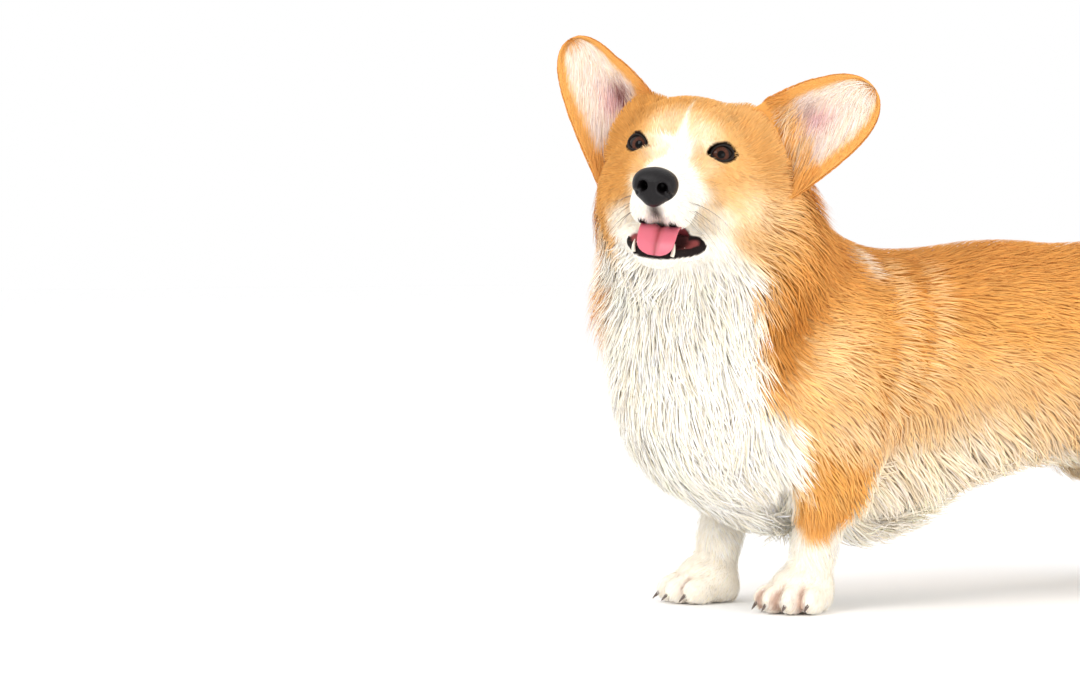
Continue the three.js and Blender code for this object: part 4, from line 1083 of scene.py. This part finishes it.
coatMaterial = newMaterial("coat", {"Roughness": 0.75, "Specular IOR Level": 0.06}, attribute=True)
coatPieces = []
for long, name in ((False, "coatShort"), (True, "coatLong")):
    picked = np.flatnonzero(isLong == long)
    picked = picked[np.argsort(roots[picked, 0])]
    size = coatSettings["piece"] // (16 if long else 10)  # the triangles of a tuft
    for i in range(0, len(picked), size):
        part = picked[i : i + size]
        points, faces, colours, uvs, facing = growCoat(
            roots[part], normals[part], rootColours[part], rootUv[part],
            length[part], width[part], lift[part], clumping[part], long)
        pieceName = f"{name}{len(coatPieces) + 1}"
        piece = meshPiece(pieceName, points, faces, coatMaterial, colours, uvs, normals=facing)
        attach(piece, "root")
        coatPieces.append(piece)
        print(piece.name, len(faces))


def growEar(side):  # tufts over both faces of an ear, laid from its root towards its tip and edges
    count = coatSettings["earTufts"]
    ownRng = np.random.default_rng(5 + side)
    along = 0.965 - 1.015 * ownRng.random(count) ** 0.8
    across = np.sin(ownRng.uniform(-1, 1, count) * np.pi / 2)
    front = (ownRng.random(count) < 0.52) * 1.0
    back = 1 - 2 * front  # 1 behind, -1 in front
    edge = np.clip(ramp(np.abs(across), 0.6, 0.85) + ramp(along, 0.8, 0.95), 0, 1)
    inner = front * (1 - edge)
    mouthOf = front * ramp(-along, -0.2, -0.06)  # longer hair stands across the ear's opening
    length = (8 + 9 * inner + 7 * mouthOf) * ownRng.uniform(0.6, 1.3, count)
    height = (0.5 + (1.6 * inner + 5 * mouthOf) * ownRng.random(count)) * back
    reach = norm(np.array(ears[side]["tip"]) - np.array(ears[side]["bottom"]))
    drift = np.where(front > 0.5, 0.55 - 0.5 * across, 0.3 * across) + ownRng.normal(0, 0.16, count)
    path, outs = [], []
    for t in (0, 0.5, 1):
        a = along + length * t * 0.9 / reach
        c = across + drift * length * t / 34 * np.sqrt(np.clip(1.02 - np.abs(across), 0, 1))
        stay = np.minimum(a, 0.9992)
        out = earNormal(side, stay, c)
        away = earHeight(stay, c, front) + height * t - 0.4 * (t == 0) * back
        path.append(fromHead(earPoint(side, stay, c) + out * away[:, None]))
        outs.append(out @ headTurn.T * back[:, None])
    path, out = np.stack(path, 1), np.stack(outs, 1)
    way = unit(np.gradient(path, axis=1))
    out = unit(out - way * (way * out).sum(-1, keepdims=True))
    aside = np.cross(way, out)
    widths = (0.62 * ownRng.uniform(0.7, 1.3, count))[:, None] * np.array([0.9, 0.8])
    colours = earColours(side, along, across, front)
    root = np.exp(-(((along - 0.24) / 0.2) ** 2) - ((across - 0.15) / 0.4) ** 2)
    colours = blendTo(colours, tone["white"], 0.7 * inner * ownRng.random(count) * (1 - 0.8 * root))
    part = np.full(count, partNames.index("ears"))
    uv = unwrapped(path[:, 0], part, tileOf(outs[0]))
    return finishTufts(path, out, aside, widths, outs[0], colours, uv, ownRng)


grown = [growEar(s) for s in both]
offset = len(grown[0][0])
joinedEars = [np.concatenate([a, b + (offset if k == 1 else 0)]) for k, (a, b) in enumerate(zip(*grown))]
points, faces, colours, uvs, facing = joinedEars
earPiece = meshPiece("coatEars", points, faces, coatMaterial, colours, uvs, normals=facing)
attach(earPiece, "root")
print("coatEars", len(faces))

# Eyes: a ball ringed about its gaze, with the lids' black rims round it
eyeLook = {  # angles of the pupil and the iris from the gaze, how far they stand out, the rims' half width
    "pupil": 0.24, "iris": 0.57, "bulge": 0.9, "rimWidth": 0.95,
    "lookedAt": (1583, 2511.5, 310.0), "turned": 0.45,  # the camera's place, the share of the gaze that goes to it
}
toCamera = unit(intoHead(np.array(eyeLook["lookedAt"])))


def sphereAbout(centre, axis, radius, rings, columns):  # rings of a ball by their angle from an axis
    angle = np.pi * (np.linspace(0, 1, rings) ** 1.6)
    around = np.linspace(0, 2 * np.pi, columns, endpoint=False)
    a, t = np.meshgrid(angle, around, indexing="ij")
    side = unit(np.cross(axis, [0, 0, 1.0]))
    up = np.cross(side, axis)
    way = (axis * np.cos(a)[..., None]
           + (side * np.cos(t)[..., None] + up * np.sin(t)[..., None]) * np.sin(a)[..., None])
    return centre + radius * way, a, t


eyeTones = {
    "pupil": (0.015, 0.012, 0.012), "iris": (0.24, 0.13, 0.095), "irisLight": (0.35, 0.205, 0.15),
    "edge": (0.07, 0.045, 0.04), "white": (0.30, 0.21, 0.18),
}
eyeTone = {name: np.array(value) for name, value in eyeTones.items()}
eyeMaterial = newMaterial("eye", {"Roughness": 0.05, "Specular IOR Level": 0.12}, attribute=True)
rimMaterial = newMaterial("eyeRim", {"Base Color": (0.012, 0.008, 0.007, 1), "Roughness": 0.5,
                                      "Specular IOR Level": 0.2})


def strip(points, closedRows=False):  # a tube of rings: a loop, or closed by a point at each end
    rows, columns = points.shape[:2]
    tris = halved(facePatch(rows, columns))
    flat = points.reshape(-1, 3)
    ring = np.arange(columns)
    after = (ring + 1) % columns
    top, topAfter = (rows - 1) * columns + ring, (rows - 1) * columns + after
    if closedRows:
        end = np.concatenate([np.stack([top, topAfter, after], 1), np.stack([top, after, ring], 1)])
        return flat, np.concatenate([tris, end])
    first = np.stack([after, ring, np.full(columns, len(flat))], 1)
    last = np.stack([top, topAfter, np.full(columns, len(flat) + 1)], 1)
    flat = np.concatenate([flat, [points[0].mean(0), points[-1].mean(0)]])
    return flat, np.concatenate([tris, first, last])


def tube(path, radius, columns=10, up=(0, 0, 1.0), closed=False):
    # A ring of points about each place of a path: the cosine of the turn to the side, the sine up, times the
    # radius there.
    way = unit(np.gradient(path, axis=0)) if not closed else unit(np.roll(path, -1, 0) - np.roll(path, 1, 0))
    side = unit(np.cross(way, np.broadcast_to(np.asarray(up, float), way.shape)))
    high = np.cross(side, way)
    around = np.linspace(0, 2 * np.pi, columns, endpoint=False)
    radius = np.broadcast_to(radius, (len(path),))[:, None, None]
    ring = side[:, None] * np.cos(around)[None, :, None] - high[:, None] * np.sin(around)[None, :, None]
    return strip(path[:, None] + ring * radius, closed)


def irisColours(a, t):  # by the angle from the gaze, with streaks that run out from the pupil
    streak = 0.5 + 0.5 * np.sin(t * 23 + 3 * np.sin(t * 7)) * np.sin(t * 11 + 1)
    light = streak * ramp(a, 0.2, 0.32) * (1 - ramp(a, 0.42, 0.54))
    c = blendTo(np.broadcast_to(eyeTone["iris"], a.shape + (3,)), eyeTone["irisLight"], light)
    c = blendTo(c, eyeTone["pupil"], 1 - ramp(a, eyeLook["pupil"] - 0.015, eyeLook["pupil"] + 0.02))
    c = blendTo(c, eyeTone["edge"], ramp(a, eyeLook["iris"] - 0.07, eyeLook["iris"] + 0.01))
    return blendTo(c, eyeTone["white"], ramp(a, eyeLook["iris"] + 0.12, eyeLook["iris"] + 0.5))


def rimLine(side):  # round the edge of the lids' opening, on the ball
    turn = np.linspace(0, 2 * np.pi, 90, endpoint=False)
    half, share = eyes["openLength"] * np.cos(turn), np.abs(np.sin(turn))
    height = np.where(np.sin(turn) > 0, eyes["openTop"] * share**1.5, -eyes["openLow"] * share**1.7)
    across, up, out = eyeBasis(side)
    way = unit(out * eyes["radius"] + across * (half * 0.93)[:, None] + up * (height * 0.95)[:, None])
    return eyeCentre(side) + way * (eyes["radius"] + 0.55)


for s in both:
    name = "left" if s > 0 else "right"
    gaze = unit((1 - eyeLook["turned"]) * eyeBasis(s)[2] + eyeLook["turned"] * toCamera)
    p, a, t = sphereAbout(eyeCentre(s), gaze, eyes["radius"], 72, 72)
    p = p + gaze * (np.clip(1 - a / 0.62, 0, 1) ** 0.8 * eyeLook["bulge"])[..., None]
    flat, faces = strip(p)
    c = np.concatenate([irisColours(a, t).reshape(-1, 3), [eyeTones["pupil"], eyeTones["white"]]])
    ball = meshPiece("eye_" + name + "_ball", fromHead(flat), faces, eyeMaterial, c)
    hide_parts("eye_" + name)
    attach(ball, "root")
    flat, faces = tube(rimLine(s), eyeLook["rimWidth"], 10, eyeBasis(s)[2], closed=True)
    rim = meshPiece("eye_" + name + "_rim", fromHead(flat), faces, rimMaterial)
    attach(rim, "root")
print("eyes")

# Nose: rounded leather with two comma-shaped nostrils and a groove between them
noseLook = {"cell": 0.62, "edgeBlend": 2.4, "below": (-18, -20, -22), "above": (22, 20, 18)}


def noseField(h):  # the body's value, with the hollows' taken out of it by a smooth greater-of-two
    return -smoothMin(-noseBody(h), noseHole(h), noseLook["edgeBlend"])


p, quads = gridSurface(noseField, noseAt + noseLook["below"], noseAt + noseLook["above"], noseLook["cell"])
noseMaterial = newMaterial("noseLeather", {"Base Color": (0.007, 0.0055, 0.006, 1), "Roughness": 0.36,
                                           "Specular IOR Level": 0.22},
                           bump={"scale": 1300, "strength": 0.55, "distance": 0.0005, "detail": 1})
nose = meshPiece("noseLeather", fromHead(p), quads, noseMaterial)
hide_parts("nose")
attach(nose, "root")
print("nose", len(quads))

# Tongue: a flat, grooved section drawn along a path that dips over the lower lip
tongueLook = {
    "halfWidth": 16.2, "thick": 5.0, "curl": 3.2, "groove": 1.7, "rows": 44, "columns": 40,
    "path": ((0, 1, -68), (16, 1.5, -65), (32, 2, -62.5), (46, 2.2, -61.5), (56, 2.4, -65.5), (62.5, 2.6, -74),
             (65, 2.8, -82.5)),
}
# the groove, back and root tones are painted shade: darker in the groove and deeper in the mouth
tongueTones = {
    "top": (0.80, 0.40, 0.46), "groove": (0.62, 0.25, 0.28), "back": (0.42, 0.15, 0.17), "root": (0.4, 0.15, 0.17),
}


def tongueSurface():
    # Across: the half width times the cosine. Up: half the thickness times the sine, less the groove as a
    # bell at the middle of the top, plus a curl that rises with the square of the place across.
    path = np.array(tongueLook["path"], float)
    t = np.linspace(0, 1, tongueLook["rows"])
    line = np.stack([np.interp(t, np.linspace(0, 1, len(path)), path[:, k]) for k in range(3)], 1)
    for _ in range(6):
        line[1:-1] = (line[:-2] + 2 * line[1:-1] + line[2:]) / 4
    way = unit(np.gradient(line, axis=0))
    up = unit(np.cross(way, [0, 1.0, 0])) * -1
    up = np.where(up[:, 2:] < 0, -up, up)
    around = np.linspace(0, 2 * np.pi, tongueLook["columns"], endpoint=False)
    half = tongueLook["halfWidth"] * np.sqrt(np.clip(1 - ((t - 0.45) / 0.56) ** 8, 0.02, 1)) * (1 - 0.12 * t)
    u, v = np.cos(around), np.sin(around)
    groove = -tongueLook["groove"] * np.exp(-((u / 0.16) ** 2)) * (v > 0)
    lifted = (v * tongueLook["thick"] / 2 * np.sqrt(np.abs(v)) + groove)[None]
    lifted = lifted + tongueLook["curl"] * (u**2)[None] * (0.4 + t)[:, None]
    lifted = lifted * np.sqrt(np.clip(1 - t**10, 0.05, 1))[:, None]
    p = line[:, None] + np.array([0, 1.0, 0]) * (half[:, None] * u)[..., None] + up[:, None] * lifted[..., None]
    # painted shade: darker pink along the groove and towards the root of the tongue
    grooveShade = np.broadcast_to(np.exp(-((u / 0.13) ** 2)) * (v > 0), p.shape[:2])
    c = blendTo(np.broadcast_to(np.array(tongueTones["top"]), p.shape), np.array(tongueTones["groove"]), grooveShade)
    deep = np.broadcast_to((1 - ramp(t, 0.25, 0.6))[:, None], p.shape[:2])
    return p[:, ::-1], blendTo(c, np.array(tongueTones["back"]), deep)[:, ::-1]


p, c = tongueSurface()
flat, faces = strip(p)
c = np.concatenate([c.reshape(-1, 3), [tongueTones["root"], tongueTones["top"]]])
tongueMaterial = newMaterial("tongue", {"Roughness": 0.38, "Subsurface Weight": 0.15, "Subsurface Scale": 0.003},
                             attribute=True, bump={"scale": 1500, "strength": 0.35, "distance": 0.0004})
tongue = meshPiece("tonguePink", fromHead(flat), faces, tongueMaterial, c)
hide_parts("tongue")
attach(tongue, "root")
print("tongue", len(faces))

# Teeth, claws and whiskers are tapered tubes along bent paths


def bent(start, middle, end, count=9):  # points of a curve pulled towards its middle point
    start, middle, end = (np.array(v, float) for v in (start, middle, end))
    t = np.linspace(0, 1, count)[:, None]
    return (1 - t) ** 2 * start + 2 * t * (1 - t) * middle + t**2 * end


def many(name, tubes, material):  # one piece of several tubes
    offsets = np.cumsum([0] + [len(p) for p, _ in tubes[:-1]])
    points = np.concatenate([p for p, _ in tubes])
    faces = np.concatenate([f + o for (_, f), o in zip(tubes, offsets)])
    piece = meshPiece(name, points, faces, material)
    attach(piece, "root")
    return piece


toothPlaces = [  # ahead, aside, how far it stands up, half width
    (56, 14.6, 6.5, 1.6), (45, 14.6, 0.2, 1.1), (38, 16.2, 0.5, 1.3), (30, 17.8, 1.0, 1.6),
]
teeth = []
for s in both:
    for ahead, aside, rise, size in toothPlaces:
        low = float(mouthLines(ahead)[1]) - 3.5
        path = bent((ahead, s * aside, low), (ahead + 1, s * (aside + 1), low + rise * 0.6),
                    (ahead - 1.5, s * (aside + 0.6), low + rise + 3))
        width = size * (1 - np.linspace(0, 0.93, 9) ** 2.2)
        p, f = tube(path, width, 12, (1, 0, 0))
        teeth.append((fromHead(p), f))
toothMaterial = newMaterial("tooth", {"Base Color": (0.82, 0.76, 0.62, 1), "Roughness": 0.25})
many("teeth", teeth, toothMaterial)

clawLook = {"rootBack": 9, "rootHeight": 10.5, "tipAhead": 2, "tipHeight": 3.2, "arch": 2.6, "radius": 2.3}
claws = []
for paw in paws:
    for ahead, aside, half in toes:
        start = onPaw(paw, ahead + half - clawLook["rootBack"], aside * 1.12, clawLook["rootHeight"])
        tip = onPaw(paw, ahead + half + clawLook["tipAhead"], aside * 1.2, clawLook["tipHeight"])
        middle = (start + tip) / 2 + np.array([0, 0, clawLook["arch"]])
        taper = 1 - 0.86 * np.linspace(0, 1, 9) ** 1.6
        claws.append(tube(bent(start, middle, tip), clawLook["radius"] * taper, 12))
clawMaterial = newMaterial("clawHorn", {"Base Color": (0.12, 0.085, 0.07, 1), "Roughness": 0.4})
clawPiece = many("clawTips", claws, clawMaterial)
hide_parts(*[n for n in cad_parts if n.startswith("claw")])

whiskerLook = {"rows": 3, "inRow": 4, "length": 26, "longer": 9, "radius": 0.13}
whiskers = []
whiskerRng = np.random.default_rng(3)
for s in both:
    for row in range(whiskerLook["rows"]):
        for k in range(whiskerLook["inRow"]):
            start = np.array([54 - 7.5 * k, s * (17 + 2.4 * k), -40 - 5.5 * row])
            start = toLevel(skullField, start[None], -2.5)[0]
            reach = whiskerLook["length"] + whiskerLook["longer"] * k + whiskerRng.uniform(-4, 6)
            turn = np.array([-0.5 - 0.1 * k, s * 1.1, -0.25 - 0.22 * row]) + whiskerRng.normal(0, 0.08, 3)
            end = start + unit(turn + np.array([-0.5, 0, -0.5])) * reach
            path = bent(start, start + unit(turn) * reach * 0.55, end, 8)
            p, f = tube(path, whiskerLook["radius"] * (1 - np.linspace(0, 0.85, 8)), 5)
            whiskers.append((fromHead(p), f))
whiskerMaterial = newMaterial("whisker", {"Base Color": (0.09, 0.06, 0.05, 1), "Roughness": 0.4})
many("whiskers", whiskers, whiskerMaterial)
print("teeth, claws and whiskers", len(teeth), len(claws), len(whiskers))

# Camera, floor and light

cameraSettings = {  # where it stands from the feet, and where the feet and the horizon lie in the picture
    "azimuth": 60, "distance": 2900, "height": 310, "lens": 122.4,
    "feet": (133, 0), "feetAt": 208, "horizonAt": 122.5, "focal": 3671,
}
toward = np.radians(cameraSettings["azimuth"])
away = np.array([np.cos(toward), np.sin(toward), 0])
right = np.array([-np.sin(toward), np.cos(toward), 0])
place = np.array([*cameraSettings["feet"], 0]) + away * cameraSettings["distance"]
place[2] = cameraSettings["height"]
turn = np.arctan2(cameraSettings["feetAt"], cameraSettings["focal"])
dip = np.arctan2(cameraSettings["horizonAt"], cameraSettings["focal"])
ahead = -away * np.cos(turn) - right * np.sin(turn)
ahead = ahead * np.cos(dip) - np.array([0, 0, np.sin(dip)])
rightward = unit(np.cross(ahead, [0, 0, 1]))
upward = np.cross(rightward, ahead)
camera = bpy.data.objects.new("camera", bpy.data.cameras.new("camera"))
camera.data.lens = cameraSettings["lens"]
camera.data.sensor_width = 36  # mm
camera.data.clip_end = 50
matrix = np.eye(4)
matrix[:3, 0], matrix[:3, 1], matrix[:3, 2] = rightward, upward, -ahead
matrix[:3, 3] = (place + toModel) / 1000
camera.matrix_world = Matrix(matrix.tolist())
bpy.context.scene.collection.objects.link(camera)
bpy.context.scene.camera = camera

floorMaterial = newMaterial("floor", {"Base Color": (1, 1, 1, 1), "Roughness": 1})
floorHalf = 12  # m
floorPoints = np.array([[-1, -1, 0], [1, -1, 0], [1, 1, 0], [-1, 1, 0]], float) * floorHalf
floor = meshPiece("floor", floorPoints, [[0, 1, 2, 3]], floorMaterial, smooth=False, place=False)

world = bpy.data.worlds.new("studio")
world.use_nodes = True
world.node_tree.nodes["Background"].inputs["Color"].default_value = (1, 1, 1, 1)
world.node_tree.nodes["Background"].inputs["Strength"].default_value = 1.0
bpy.context.scene.world = world

lights = [  # name, place in the camera's terms (right, towards the camera, up) in metres, size, power
    ("key", (-1.6, 1.9, 2.0), 1.3, 35),
    ("fill", (1.5, 2.2, 0.45), 1.8, 26),
    ("top", (0.1, -0.3, 2.6), 2.2, 5),
    ("catchlight", (1.5, 2.5, 0.95), 0.16, 4),
]
for name, (toRight, near, high), size, power in lights:
    lamp = bpy.data.objects.new(name, bpy.data.lights.new(name, "AREA"))
    lamp.data.size = size
    lamp.data.energy = power
    spot = right * toRight + away * near + np.array([0, 0, high])
    aim = unit(np.array([0, 0, 0.2]) - spot)
    sideways = unit(np.cross(aim, [0.01, 0, 1]))
    m = np.eye(4)
    m[:3, 0], m[:3, 1], m[:3, 2], m[:3, 3] = sideways, np.cross(sideways, aim), -aim, spot
    lamp.matrix_world = Matrix(m.tolist())
    bpy.context.scene.collection.objects.link(lamp)
bpy.context.scene.view_settings.view_transform = "Standard"
print("camera, floor and light")
